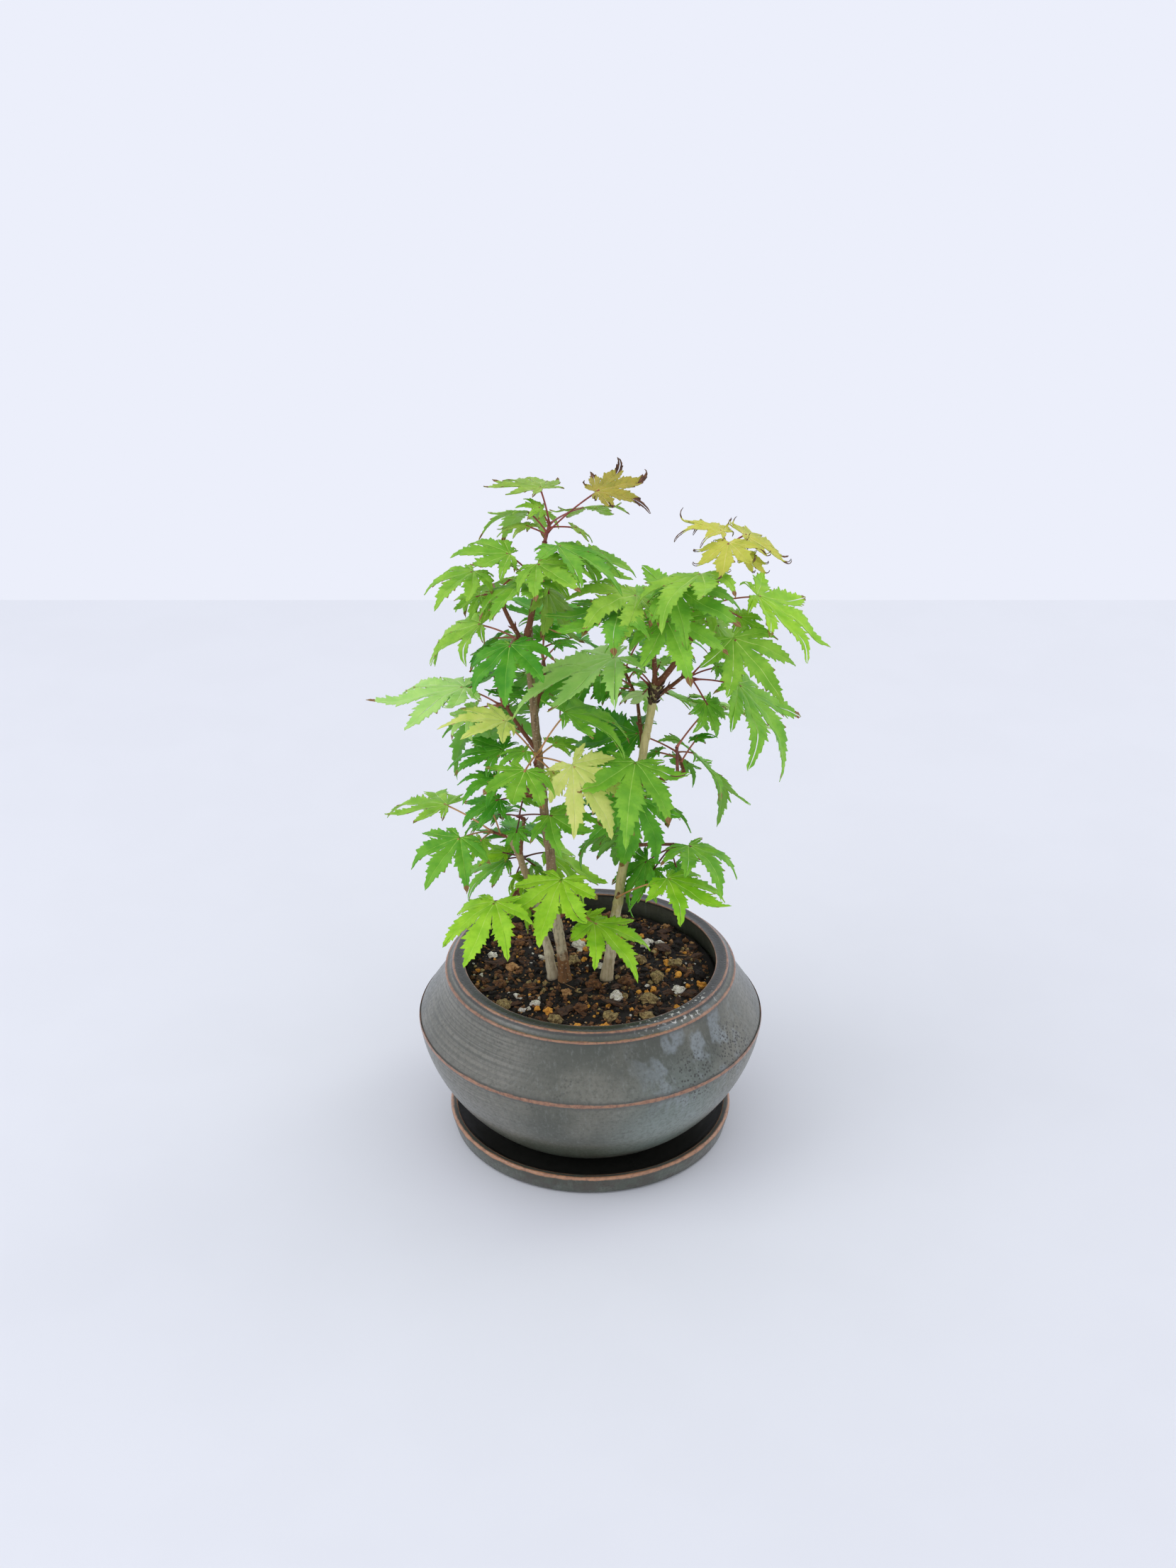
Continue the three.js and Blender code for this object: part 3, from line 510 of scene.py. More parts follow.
def leaf_blade(name, light, dark, edge):
    """A thin fresh maple blade: matt, with darker clouds a few millimetres wide, and some light coming
    through it. Each leaf has its own tone, and its margin is dry brown in places."""
    blade = Surface(name, light)
    tone = blade.add("Attribute", "Fac", attribute_name="tone")
    rim = blade.add("Attribute", "Fac", attribute_name="rim")
    clouds = blade.mask((blade.lumps(6, 3, 0.5), 0.35, 0.68, 0, 0.55))
    blade.cover(dark, blade.add("Math", 0, (clouds, blade.mask(tone, 0.6)), operation="ADD"))
    blade.cover(dark, (blade.lumps(0.9, 3, 0.6), 0.45, 0.65, 0, 0.22))
    tattered = blade.mask(blade.lumps(2.2, 3, 0.6), 0.6)
    blade.cover(edge, (blade.add("Math", 0, (rim, tattered), operation="ADD"), 0.85, 1.1))
    sockets = {"Roughness": 0.52, "Specular IOR Level": 0.22, "Subsurface Weight": 0.2,
               "Subsurface Radius": (0.4, 1.0, 0.2), "Subsurface Scale": MM}
    return blade.finished(sockets, blade.lumps(0.6, 2, 0.5), 0.06, 0.35)


def plain_tissue(name, light, dark, patch_mm, roughness):
    """Soft green or red plant tissue, or dead crisp tissue: two near colours in small clouds."""
    tissue = Surface(name, light)
    tissue.cover(dark, (tissue.lumps(patch_mm, 3, 0.6), 0.35, 0.65))
    return tissue.finished({"Roughness": roughness}, tissue.lumps(0.5, 2, 0.5), 0.05, 0.4)


def stem_bark(name, bands, streaks):
    """Thin young maple bark with long streaks and pale lenticels. bands gives its colours from the foot up,
    each with the height in millimetres at which it starts."""
    bark = Surface(name, bands[0][0])
    height = bark.add("SeparateXYZ", "Z", (bark.place,))
    waver = bark.add("Math", 0, (bark.lumps(4, 3, 0.6), 0.5), operation="SUBTRACT")
    level = bark.add("Math", 0, (height, bark.mask(waver, 26 * MM)), operation="ADD")
    for colour, start in bands[1:]:
        bark.cover(colour, (level, (start - 4) * MM, (start + 6) * MM))
    streak = bark.lumps(0.9, 4, 0.7, (1, 1, 0.16))
    bark.cover(streaks, (streak, 0.42, 0.7, 0, 0.65))
    across = bark.add("Mapping", "Vector", {"Vector": bark.place, "Scale": (1, 1, 2.2)})
    lenticels = bark.add("TexVoronoi", "Distance", {"Vector": across, "Scale": 1 / (1.9 * MM)})
    bark.cover("#cdbf9f", (lenticels, 0.12, 0.26, 0.6, 0))
    return bark.finished({"Roughness": 0.8}, streak, 0.25, 0.8)


def granular(name, patch_mm, light, dark, specks=None):
    """Mineral or woody grains, rough all over: two near colours, and specks of a third in some."""
    grain = Surface(name, light)
    grain.cover(dark, (grain.lumps(patch_mm, 4, 0.7), 0.35, 0.65))
    if specks:
        dots = grain.add("TexVoronoi", "Distance", {"Vector": grain.place, "Scale": 1 / (0.7 * MM)})
        grain.cover(specks, (dots, 0.16, 0.3, 0.85, 0))
    return grain.finished({"Roughness": 0.9}, grain.lumps(0.5, 4, 0.7), 0.2, 0.9)


# ---------------------------------------------------------------- saucer and pot
BEAD_STEPS = 4  # spans round the curve of each ridge
SPIN_STEPS = 160
WITHIN = 0.35  # the plain walls lie this far inside the source's outline, so that the ridges stand proud
THROWING = {"points": 40, "period": 3, "depth": 0.05}
EASED = {"recess": 0.6, "foot_ring": 0.5, "foot": 0.8}  # rounding of the foot's edges
# Size of each ridge's rounding, and half the width of the worn ring on it.
POT_RIDGES = {"belly": (0.8, 0.85), "neck": (0.6, 0.75), "lip": (0.6, 0.6), "mouth": (0.6, 0.5)}
SAUCER_RIDGES = {"rim": (0.9, 0.8), "inner": (0.5, 0.4)}
POT_BODY, SAUCER_BODY = ("#a67a5c", "#7a5443"), ("#bb8a66", "#94694e")


def bead(radius, height, from_way, to_way, size):
    """Points round a corner at (radius, height), given the directions of the outline before and after."""
    corner = Vector((radius, height))
    a, b = corner - Vector(from_way).normalized() * size, corner + Vector(to_way).normalized() * size
    shares = [i / BEAD_STEPS for i in range(BEAD_STEPS + 1)]
    return [tuple(a * (1 - t) ** 2 + corner * (2 * t * (1 - t)) + b * t ** 2) for t in shares]


def bowl_point(share):
    """A point of the bowl's outline, from the foot at 0 to the belly at 1."""
    angle = share * math.pi / 2
    power = 2 / POT["bowl_power"]
    radius = mix(POT["foot_radius"], POT["belly_radius"], math.sin(angle) ** power)
    return radius, mix(POT["belly_height"], POT["stand_height"], math.cos(angle) ** power)


def shoulder_point(t):
    """A point of the shoulder's outline, from the belly at 0 to the neck at 1."""
    a = Vector((POT["belly_radius"], POT["belly_height"]))
    d = Vector((POT["neck_radius"], POT["neck_height"]))
    b, c = a + Vector(POT["shoulder_leaves"]), d + Vector(POT["shoulder_arrives"])
    return tuple(a * (1 - t) ** 3 + b * (3 * t * (1 - t) ** 2) + c * (3 * t * t * (1 - t)) + d * t ** 3)


def build_pot():
    bowl = [bowl_point(i / 30) for i in range(30)]
    bowl = [(radius - WITHIN * ease(i / 6), height) for i, (radius, height) in enumerate(bowl)]
    shoulder = []
    for i in range(1, THROWING["points"]):
        radius, height = shoulder_point(i / THROWING["points"])
        ring = THROWING["depth"] * math.sin(i * math.tau / THROWING["period"])
        shoulder.append((radius - WITHIN + ring, height))
    belly, belly_height = POT["belly_radius"], POT["belly_height"]
    neck, neck_height = POT["neck_radius"], POT["neck_height"]
    lip, top, mouth = POT["lip_radius"], POT["lip_height"], POT["mouth_radius"]
    foot, drain = POT["stand_height"], POT["drain_radius"]
    recess, ring_inner = foot + POT["foot_recess"], POT["foot_radius"] - POT["foot_ring"]
    profile = [
        (drain, recess),
        (ring_inner - EASED["recess"], recess),
        (ring_inner, recess - EASED["recess"]),
        (ring_inner, foot + EASED["foot_ring"]),
        (ring_inner + EASED["foot_ring"], foot),
        (POT["foot_radius"] - EASED["foot"], foot),
        *bowl[1:],
        *bead(belly, belly_height, (0.25, 1), (-0.45, 1), POT_RIDGES["belly"][0]),
        *shoulder,
        *bead(neck, neck_height, (-0.2, 1), (-1, 0.1), POT_RIDGES["neck"][0]),
        (neck - 1.5, neck_height + 0.5),
        (lip + 0.7, top - 1.2),
        *bead(lip, top, (-0.5, 1), (-1, 0), POT_RIDGES["lip"][0]),
        (lip - 1.6, top - 0.25),
        (mouth + 1.2, top - 0.2),
        *bead(mouth, top, (-1, 0), (0.1, -1), POT_RIDGES["mouth"][0]),
        (mouth + 0.6, neck_height - 1),
        (mouth + 1, neck_height - POT["mouth_depth"]),
        (belly - POT["wall"], belly_height),
        (POT["cavity_radius"], POT["cavity_height"]),
        (ring_inner, POT["floor"]),
        (drain, POT["floor"]),
        (drain, recess),
    ]
    pot = spun("pot_body", profile, SPIN_STEPS)
    places = [(belly, belly_height), (neck, neck_height), (lip, top), (mouth, top)]
    ridges = [(*place, half_width) for place, (_, half_width) in zip(places, POT_RIDGES.values())]
    pot.data.materials.append(stoneware_glaze("satin_iron_glaze_on_stoneware", ridges, POT_BODY))
    stand_for(pot, "pot_glaze", "pot")


def build_saucer():
    foot, rim, height = SAUCER["foot_radius"], SAUCER["rim_radius"], SAUCER["height"]
    bevel, floor, inner = SAUCER["bevel"], SAUCER["floor"], SAUCER["rim_radius"] - SAUCER["wall"]
    profile = [
        (0, 0),
        (foot - 6, 0),
        (foot - 0.6, 0),
        (foot, 0.25),
        (foot + bevel * 0.8, bevel),
        *bead(rim, height - 0.4, (0.15, 1), (-1, 0.6), SAUCER_RIDGES["rim"][0]),
        (rim - 1.4, height),
        *bead(inner + 0.3, height, (-1, 0), (-0.3, -1), SAUCER_RIDGES["inner"][0]),
        (inner - 0.5, height - 2.2),
        (foot - 5.2, floor + 0.5),
        (foot - 6.8, floor),
        (foot - 12, floor),
        (0, floor),
    ]
    saucer = spun("saucer_body", profile, SPIN_STEPS)
    places = [(rim - 0.5, height - 0.3), (inner + 0.3, height)]
    ridges = [(*place, half_width) for place, (_, half_width) in zip(places, SAUCER_RIDGES.values())]
    glaze = stoneware_glaze("satin_iron_glaze_on_saucer", ridges, SAUCER_BODY, inner - 0.3)
    saucer.data.materials.append(glaze)
    stand_for(saucer, "saucer_glaze", "saucer")


# ---------------------------------------------------------------- soil
BED = {"below": 0.5, "rings": 40, "steps": 120}  # the bed lies below the nominal level, among its grains
BED_LUMPS = ((7, 3, 0.9), (2.5, 9, 0.35))  # width of a lump, where in the noise, and height


def icosphere(level):
    """Vertices and faces of a ball of radius 1."""
    deselect_all()
    bpy.ops.mesh.primitive_ico_sphere_add(subdivisions=level, radius=1)
    ball = bpy.context.object
    vertices = [v.co.copy() for v in ball.data.vertices]
    faces = [tuple(p.vertices) for p in ball.data.polygons]
    bpy.data.objects.remove(ball)
    return vertices, faces


def soil_height(x, y):
    """The lie of the soil: nearly level, lower at the pot's wall, with soft lumps."""
    beyond = math.hypot(x, y) - SOIL["flat_radius"]
    drop = SOIL["edge_drop"] * ease(beyond / (POT["mouth_radius"] - SOIL["flat_radius"]))
    lumps = sum(noise.noise(Vector((x, y, z)) / width) * high for width, z, high in BED_LUMPS)
    return SOIL["level"] - drop - BED["below"] + lumps


def build_soil_bed():
    """Fills the pot, with a lumpy top of many rings."""
    edge, count = POT["mouth_radius"] - GAP, BED["rings"]
    rings = [(edge * (1 - i / count), SOIL["level"] - BED["below"]) for i in range(count + 1)]
    profile = [
        (0, POT["floor"] + GAP),
        (POT["foot_radius"] - POT["foot_ring"], POT["floor"] + GAP),
        (POT["cavity_radius"] - GAP, POT["cavity_height"] + GAP / 2),
        (POT["belly_radius"] - POT["wall"] - GAP, POT["belly_height"]),
        (POT["mouth_radius"] + 1 - GAP, POT["neck_height"] - POT["mouth_depth"]),
        *rings,
    ]
    bed = spun("soil_bed", profile, BED["steps"])
    for vertex in bed.data.vertices:
        x, y, z = vertex.co / MM
        if z > SOIL["level"] - 1:
            vertex.co.z = soil_height(x, y) * MM
    # The bed is dark moist humus, painted darker still as the shade in the gaps between the grains.
    bed.data.materials.append(granular("dark_humus_with_painted_gap_shade", 1.5, "#1c120b", "#0c0704"))
    stand_for(bed, "soil", "soil")


# Kind of grain: how many, smallest and largest size, how flat, how long, and its colours: light, dark and,
# where it has them, its specks.
GRAINS = {
    "black_crumbs": dict(count=1300, size=(0.6, 2.4), flat=0.8, long=1.25, colours=("#24170e", "#0c0704")),
    "brown_crumbs": dict(count=1000, size=(0.6, 2.3), flat=0.8, long=1.25, colours=("#80552f", "#3f2715")),
    "tan_crumbs": dict(count=520, size=(0.5, 1.8), flat=0.8, long=1.3, colours=("#c39460", "#83592f")),
    "olive_gravel": dict(count=90, size=(1.2, 2.8), flat=0.8, long=1.2,
                         colours=("#b39a64", "#6e5a38", "#2c2415")),
    "clay_granules": dict(count=54, size=(1.4, 3.2), flat=0.85, long=1.15, colours=("#f0ac46", "#c98029")),
    "clay_grit": dict(count=130, size=(0.5, 1.4), flat=0.85, long=1.2, colours=("#e0a544", "#a9681f")),
    "pumice_stones": dict(count=14, size=(1.6, 3.2), flat=0.8, long=1.3,
                          colours=("#f1ebde", "#c2b8a4", "#4a4030")),
    "pumice_grit": dict(count=190, size=(0.4, 1.1), flat=0.85, long=1.2, colours=("#e2ddd0", "#aea695")),
    "bark_chips": dict(count=70, size=(1.8, 4.4), flat=0.35, long=2.4, colours=("#573823", "#302014")),
    "root_fibres": dict(count=46, size=(0.3, 0.5), flat=0.9, long=12, colours=("#a17f56", "#755638")),
}
STONE_KINDS = ("pumice_stones", "olive_gravel", "brown_crumbs", "olive_gravel", "black_crumbs",
               "brown_crumbs", "pumice_stones", "tan_crumbs", "olive_gravel", "black_crumbs")
LARGE_STONE, SMALL_GRAIN = 2.8, 1.6  # sizes past which a grain's ball has more, or fewer, faces
RIM_GAP, STEM_GAP = 1.2, 3.0  # grains keep this clear of the pot's mouth and of the middle of a stem
GRAIN_LUMPS = ((1.3, 0.66), (2.9, 0.36))  # how close together, and how deep, for a ball of radius 1
STREWN = {"small_first": 1.8, "tilt": 0.6, "longer": (0.8, 1.2), "wider": (0.8, 1.1), "sit": (-0.1, 0.3)}


def grain_mesh(balls, rng, size, stretch, turn, centre):
    """One lumpy grain out of a ball of many or few faces."""
    vertices, faces = balls[3 if size > LARGE_STONE else 2 if size > SMALL_GRAIN else 1]
    offset = Vector([rng.uniform(-50, 50) for _ in range(3)])
    points = []
    for v in vertices:
        lumpy = 1 + sum(deep * noise.noise(v * close + offset) for close, deep in GRAIN_LUMPS)
        points.append(centre + turn @ (v * stretch * (lumpy * size / 2)))
    return points, faces


def scatter_grains(heap, about, balls, rng):
    """Grains of one kind strewn over the bed, clear of the stems."""
    stems = [Vector(stem["foot"]) for stem in STEMS.values()]
    for _ in range(about["count"]):
        size = mix(*about["size"], rng.random() ** STREWN["small_first"])
        reach = POT["mouth_radius"] - RIM_GAP - size * about["long"] / 2
        radius, angle = reach * math.sqrt(rng.random()), rng.uniform(0, math.tau)
        spot = Vector((radius * math.cos(angle), radius * math.sin(angle)))
        lean = rng.uniform(-STREWN["tilt"], STREWN["tilt"]) / max(1, about["long"] / 2)
        turn = Matrix.Rotation(rng.uniform(0, math.tau), 3, "Z") @ Matrix.Rotation(lean, 3, "Y")
        length = about["long"] * rng.uniform(*STREWN["longer"])
        stretch = Vector((length, rng.uniform(*STREWN["wider"]), about["flat"]))
        sit = rng.uniform(*STREWN["sit"]) * size
        if all((spot - stem).length > STEM_GAP + size / 2 for stem in stems):
            centre = Vector((*spot, soil_height(*spot) + sit))
            heap.add(*grain_mesh(balls, rng, size, stretch, turn, centre))


def place_stones(heaps, balls, rng):
    """The larger grains that stand out of the soil, where the source has them."""
    draw = seeded(STONES["seed"])
    stems = [Vector(stem["foot"]) for stem in STEMS.values()]
    for i in range(STONES["count"]):
        radius = STONES["reach"] * math.sqrt((i + 0.5) / STONES["count"])
        spot = (compass(i * GOLDEN_ANGLE, 0) * radius).to_2d()
        size = mix(*STONES["size"], (draw() + 1) / 2)
        turn = Matrix.Rotation(draw() * math.pi, 3, "Z")
        slope = SOIL["edge_drop"] / (POT["mouth_radius"] - SOIL["flat_radius"])
        drop = slope * max(0, radius - SOIL["flat_radius"])
        if min((spot - stem).length for stem in stems) < STONES["clear_of_stems"]:
            continue
        centre = Vector((*spot, SOIL["level"] - drop + STONES["sunk"] * size))
        kind = STONE_KINDS[i % len(STONE_KINDS)]
        heaps[kind].add(*grain_mesh(balls, rng, size, Vector(STONES["shape"]), turn, centre))


def build_grains():
    """One piece for each kind of grain, stones and strewn grains together."""
    rng = random.Random(GRAIN_SEED)
    balls = {level: icosphere(level) for level in (1, 2, 3)}
    heaps = {kind: Heap() for kind in GRAINS}
    place_stones(heaps, balls, rng)
    for kind, about in GRAINS.items():
        scatter_grains(heaps[kind], about, balls, rng)
        material = granular(kind + "_surface", 1.2, *about["colours"])
        stand_for(heaps[kind].joined("soil_" + kind, [material], smooth=False), "soil", "soil")


# ---------------------------------------------------------------- stems and boughs
def limb_mesh(name, route, radii, material, sides, relief_mm, lump_mm):
    """A bar along a route, with the bark's relief worked in by a displacement that is applied."""
    deselect_all()
    curve = bpy.data.curves.new(name, "CURVE")
    curve.dimensions = "3D"
    curve.bevel_depth = MM
    curve.bevel_resolution = sides // 2 - 2
    curve.use_fill_caps = True
    spline = curve.splines.new("POLY")
    spline.points.add(len(route) - 1)
    for point, place, radius in zip(spline.points, route, radii):
        point.co = (*(place * MM), 1)
        point.radius = radius
    piece = bpy.data.objects.new(name, curve)
    bpy.context.scene.collection.objects.link(piece)
    make_active(piece)
    bpy.ops.object.convert(target="MESH")
    piece = bpy.context.object
    bpy.ops.object.mode_set(mode="EDIT")
    close_up()
    bark = bpy.data.textures.new(name + "_relief", "CLOUDS")
    bark.noise_scale = lump_mm * MM
    bark.noise_depth = 3
    relief = piece.modifiers.new("relief", "DISPLACE")
    relief.texture = bark
    relief.texture_coords = "LOCAL"
    relief.strength = relief_mm * MM
    relief.mid_level = 0.5
    bpy.ops.object.modifier_apply(modifier="relief")
    bpy.ops.object.shade_smooth()
    piece.data.materials.clear()
    piece.data.materials.append(material)
    return piece


def tube(route, radii, sides):
    """Vertices and faces of a closed round bar."""
    vertices, faces = [], []
    side = None
    for i, place in enumerate(route):
        ahead = (route[min(i + 1, len(route) - 1)] - route[max(i - 1, 0)]).normalized()
        reference = side if side is not None else (UP if abs(ahead.z) < 0.9 else Vector((1, 0, 0)))
        side = (reference - ahead * reference.dot(ahead)).normalized()
        other = ahead.cross(side)
        for k in range(sides):
            angle = math.tau * k / sides
            vertices.append(place + (side * math.cos(angle) + other * math.sin(angle)) * radii[i])
    for i in range(len(route) - 1):
        for k in range(sides):
            a, b = i * sides + k, i * sides + (k + 1) % sides
            faces.append((a, b, b + sides, a + sides))
    faces.append(tuple(reversed(range(sides))))
    faces.append(tuple(range(len(vertices) - sides, len(vertices))))
    return vertices, faces


def swelling(distance, reach):
    """1 at a place on a limb, fading to 0 a few times reach away from it."""
    return math.exp(-(distance / reach) ** 2)


def stem_radius(name, length, share):
    stem = STEMS[name]
    foot_swell = stem["flare"] * math.exp(-share * length / FLARE_REACH)
    knot = stem["knot"] * swelling((1 - share) * length, KNOT_REACH)
    return (mix(*stem["girth"], share) + foot_swell + knot) / 2


def build_stems(limbs):
    """Stems that waver a little, with leaf-scar rings every dozen millimetres or so."""
    for number, (name, stem) in enumerate(STEMS.items()):
        curve = stem_curve(stem)
        limbs[name] = curve
        rng = random.Random(STEM_SEED + number)
        scars = [SCARS["first"]]
        while scars[-1] < curve.length - SCARS["clear_of_tip"]:
            scars.append(scars[-1] + rng.uniform(*SCARS["apart"]))
        scars.pop()
        steps = int(curve.length / LIMB_STEP)
        route = [curve.at(0) - UP * BARK["sunk"]]
        radii = [stem_radius(name, curve.length, 0) * BARK["spread"]]
        for i in range(steps + 1):
            share = i / steps
            sideways = [noise.noise(Vector((share * BARK["bends"], number, row))) for row in (0, 5)]
            waver = Vector((*sideways, 0)) * BARK["waver"] * ease(share * 8)
            route.append(curve.at(share) + waver)
            scar = max(swelling(share * curve.length - here, LIMB_STEP) for here in scars)
            radii.append(stem_radius(name, curve.length, share) - BARK["inset"] + SCARS["height"] * scar)
        bark = stem_bark(*STEM_BARKS[name])
        piece = limb_mesh(name + "_bark", route, radii, bark, sides=18, relief_mm=0.55, lump_mm=1.6)
        stand_for(piece, "stem_bark", name)


def bud_scale(ball, foot, along, outward, length, width, lean):
    """A pointed scale that stands on a limb's side and leans out from it by lean degrees."""
    way = (along * math.cos(math.radians(lean)) + outward * math.sin(math.radians(lean))).normalized()
    across = way.cross(outward).normalized()
    thick = across.cross(way)
    vertices, faces = ball
    points = []
    for v in vertices:
        share = (v.z + 1) / 2
        half_width = width * (1 - SCALE["taper"] * share ** 2)
        flat = across * (v.x * half_width) + thick * (v.y * half_width * SCALE["thick"])
        points.append(foot + way * (share * length) + flat)
    return points, faces


def across_limb(along, turn):
    """A way at right angles to a limb, turned round it by turn radians."""
    side = along.cross(Vector((1, 0, 0)) if abs(along.z) > 0.6 else UP).normalized()
    return Matrix.Rotation(turn, 3, along) @ side


def build_knots(limbs):
    """Old bud scales crowded round the end of each tall stem, and the pale cut end of the short one."""
    ball = icosphere(2)
    rng = random.Random(KNOT_SEED)
    for name, knot in KNOTS.items():
        curve, heap = limbs[name], Heap()
        for i in range(knot["count"]):
            from_tip = knot["down"] * (1 - i / knot["count"]) + rng.uniform(*SCALE["strays"])
            share = 1 - from_tip / curve.length
            along = (curve.at(min(1, share + 0.02)) - curve.at(share - 0.02)).normalized()
            outward = across_limb(along, math.radians(i * GOLDEN_ANGLE))
            share = min(1, share)
            foot = curve.at(share) + outward * stem_radius(name, curve.length, share) * SCALE["sunk"]
            length = knot["length"] * rng.uniform(*SCALE["lengths"])
            lean = knot["lean"] * rng.uniform(*SCALE["leans"])
            heap.add(*bud_scale(ball, foot, along, outward, length, length * SCALE["width"], lean))
        scales = plain_tissue(f"dry_bud_scales_{name}", *knot["colours"], 1.4, 0.8)
        stand_for(heap.joined(name + "_bud_scales", [scales]), "stem_bark", name)
    curve, heap = limbs["stem_low"], Heap()
    radius, end = stem_radius("stem_low", curve.length, 1), curve.at(1)
    heap.add(*tube([curve.at(0.99), end, end + UP * 0.35], [radius, radius + 0.12, radius - 0.15], 18))
    cut = heap.joined("stem_low_cut_end", [plain_tissue("pale_cut_wood", "#cbb894", "#a8926c", 0.8, 0.75)])
    stand_for(cut, "stem_bark", "stem_low")


def build_boughs(limbs):
    """Last year's shoots: smooth, red-brown, swollen at the foot, at the leaf scar half way up and at the
    tip, with a pair of small buds at each scar."""
    young_bark = stem_bark("smooth_red_brown_shoot_bark", [("#8a5a3e", 0), ("#7f4a33", 150)], "#5e3322")
    ball = icosphere(2)
    buds = Heap()
    for number, (name, (on, at, heading, rise, length, lift, foot, tip)) in enumerate(BOUGHS.items()):
        curve = shoot_curve(limbs[on].at(at), heading, rise, length, lift)
        limbs[name] = curve
        steps = max(16, int(length / LIMB_STEP))
        route, radii = [], []
        for i in range(steps + 1):
            share = i / steps
            route.append(curve.at(share))
            swollen = sum(high * swelling((share - at_share) * length - beyond, reach)
                          for at_share, beyond, reach, high in SWELLINGS)
            radii.append(mix(foot, tip, share) / 2 + swollen)
        piece = limb_mesh(name + "_bark", route, radii, young_bark, sides=12, relief_mm=0.16, lump_mm=1.1)
        stand_for(piece, "shoot_bark", name)
        for share in BUD["at"]:
            along = (curve.at(share + 0.05) - curve.at(share - 0.05)).normalized()
            for half_turn in (0, math.pi):
                outward = across_limb(along, number + half_turn)
                start = curve.at(share) + outward * (mix(foot, tip, share) / 2)
                bud = bud_scale(ball, start, along, outward, BUD["length"], BUD["width"], BUD["lean"])
                buds.add(*bud, owner=name)
    piece = buds.joined("leaf_buds", [plain_tissue("red_brown_bud", "#9a4a35", "#6f2f24", 1.5, 0.5)])
    stand_for(piece, "shoot_bark", *buds.nodes)


# ---------------------------------------------------------------- leaves
# A tooth of the margin: how far along it, and how far out, with a small tooth before the large one. The
# last two stand close together, and a side vein runs between them to the tooth's point.
TOOTH = ((0.0, 0.0), (0.3, 0.5), (0.42, 0.26), (0.76, 0.93), (0.82, 1.0))
# How long a tooth is in millimetres and how deep, of the lobe's length; how unlike each other teeth are in
# length and depth; how much shallower they are near the hub, how far forward they point, and the share of the
# margin that has them, beyond which the lobe runs out in a point.
TEETH = {
    "length": 3.4, "depth": 0.062, "lengths": (0.65, 1.35), "depths": (0.6, 1.3), "least": 0.35,
    "forward": 0.5, "to": 0.94,
}
MARGIN = {"sinus_columns": 4, "taper": 1.25, "between_teeth": 0.93, "point": 0.985, "point_width": 0.004}
PART_DRY = 0.35  # the most that a sound tooth is dried
# A side vein runs forward by lean for each step out. The half width is of the blade's length, at the hub.
VEIN = {"lean": 0.85, "half_width": 0.0075, "thinner": 0.75}
RIPPLE = {"length": 0.22, "height": 0.032, "flat_hub": 0.3}  # of the blade's length
# From leaf to leaf: the fold along each lobe, how far the lobes rise or sink, how far they swerve in degrees,
# and how strongly, and which way, they curl.
VARIED = {"fold": (0.14, 0.34), "lift": (-0.15, 0.1), "swerve": (-9, 9), "curl": (0.7, 1.25),
          "curl_way": (1, 1, -0.7)}
PUCKER = {"height": 0.14, "at_vein": -0.6}  # the blade is puckered between its side veins
DRY_TIP = 0.86  # a dry lobe is brown from this share of its free length on
DRY_TIPS = 1.5  # dry lobes are this much commoner than dry teeth
STALK = {"radius": 0.31, "foot": 0.32, "tip": 0.12, "fade": 0.8, "parts": 12, "sides": 8}
TWIG_NODE = {"height": 0.2, "reach": 0.8}
TWIG_STEP, TWIG_SIDES = 0.6, 10
ROWS = (0, 0.3, 0.36, 0.7, 1)  # shares of the way from midrib to margin; a main vein ends at the second
BLADE_FACE, VEIN_FACE, DRY_FACE = 0, 1, 2


def half_lobe(lobe, neighbour, size, withered, rng):
    """Columns of (midrib place, margin place, is a vein, dryness of the margin) in the lobe's own frame, from
    hub to tip, and how far out the lobe is free of its neighbour."""
    bearing, length = lobe
    length *= size
    columns = []
    if neighbour:
        half_angle = math.radians(abs(neighbour[0] - bearing) / 2)
        reach = BLADE["sinus"] * min(lobe[1], neighbour[1]) * size
        start = Vector((reach * math.cos(half_angle), reach * math.sin(half_angle)))
        for k in range(MARGIN["sinus_columns"]):
            share = k / MARGIN["sinus_columns"]
            columns.append(((start.x - VEIN["lean"] * start.y) * share, start * share, False, 0))
    else:
        start = Vector((0, 0))
    belly = BLADE["belly_width"] * length
    belly_share = max(0.2, (BLADE["belly_at"] * length - start.x) / (length - start.x))

    def width(share):
        if share < belly_share:
            return mix(start.y, belly, ease(share / belly_share))
        return belly * math.cos((share - belly_share) / (1 - belly_share) * math.pi / 2) ** MARGIN["taper"]

    teeth = max(3, round((length - start.x) / TEETH["length"]))
    stops = [0]
    for _ in range(teeth):
        stops.append(stops[-1] + rng.uniform(*TEETH["lengths"]))
    for low, high in zip(stops, stops[1:]):
        keen = rng.uniform(*TEETH["depths"])
        dryness = 1 if rng.random() < withered else PART_DRY * rng.random()
        for number, (along, out) in enumerate(TOOTH):
            share = mix(low, high, along) / stops[-1] * TEETH["to"]
            plain, forward = width(share), mix(start.x, length, share)
            depth = mix(TEETH["least"], 1, math.sin(math.pi * min(1, share * 1.1)))
            depth *= TEETH["depth"] * length * keen
            aside = plain * MARGIN["between_teeth"] + out * depth
            place = Vector((forward + out * depth * TEETH["forward"], aside))
            rib = max(0, forward - VEIN["lean"] * plain)
            columns.append((rib, place, number == len(TOOTH) - 1, dryness * out))
    point = length * MARGIN["point"]
    columns.append((point, Vector((point, MARGIN["point_width"] * length)), False, 0))
    columns.append((length, Vector((length, 0)), False, 0))
    return columns, start.x, length


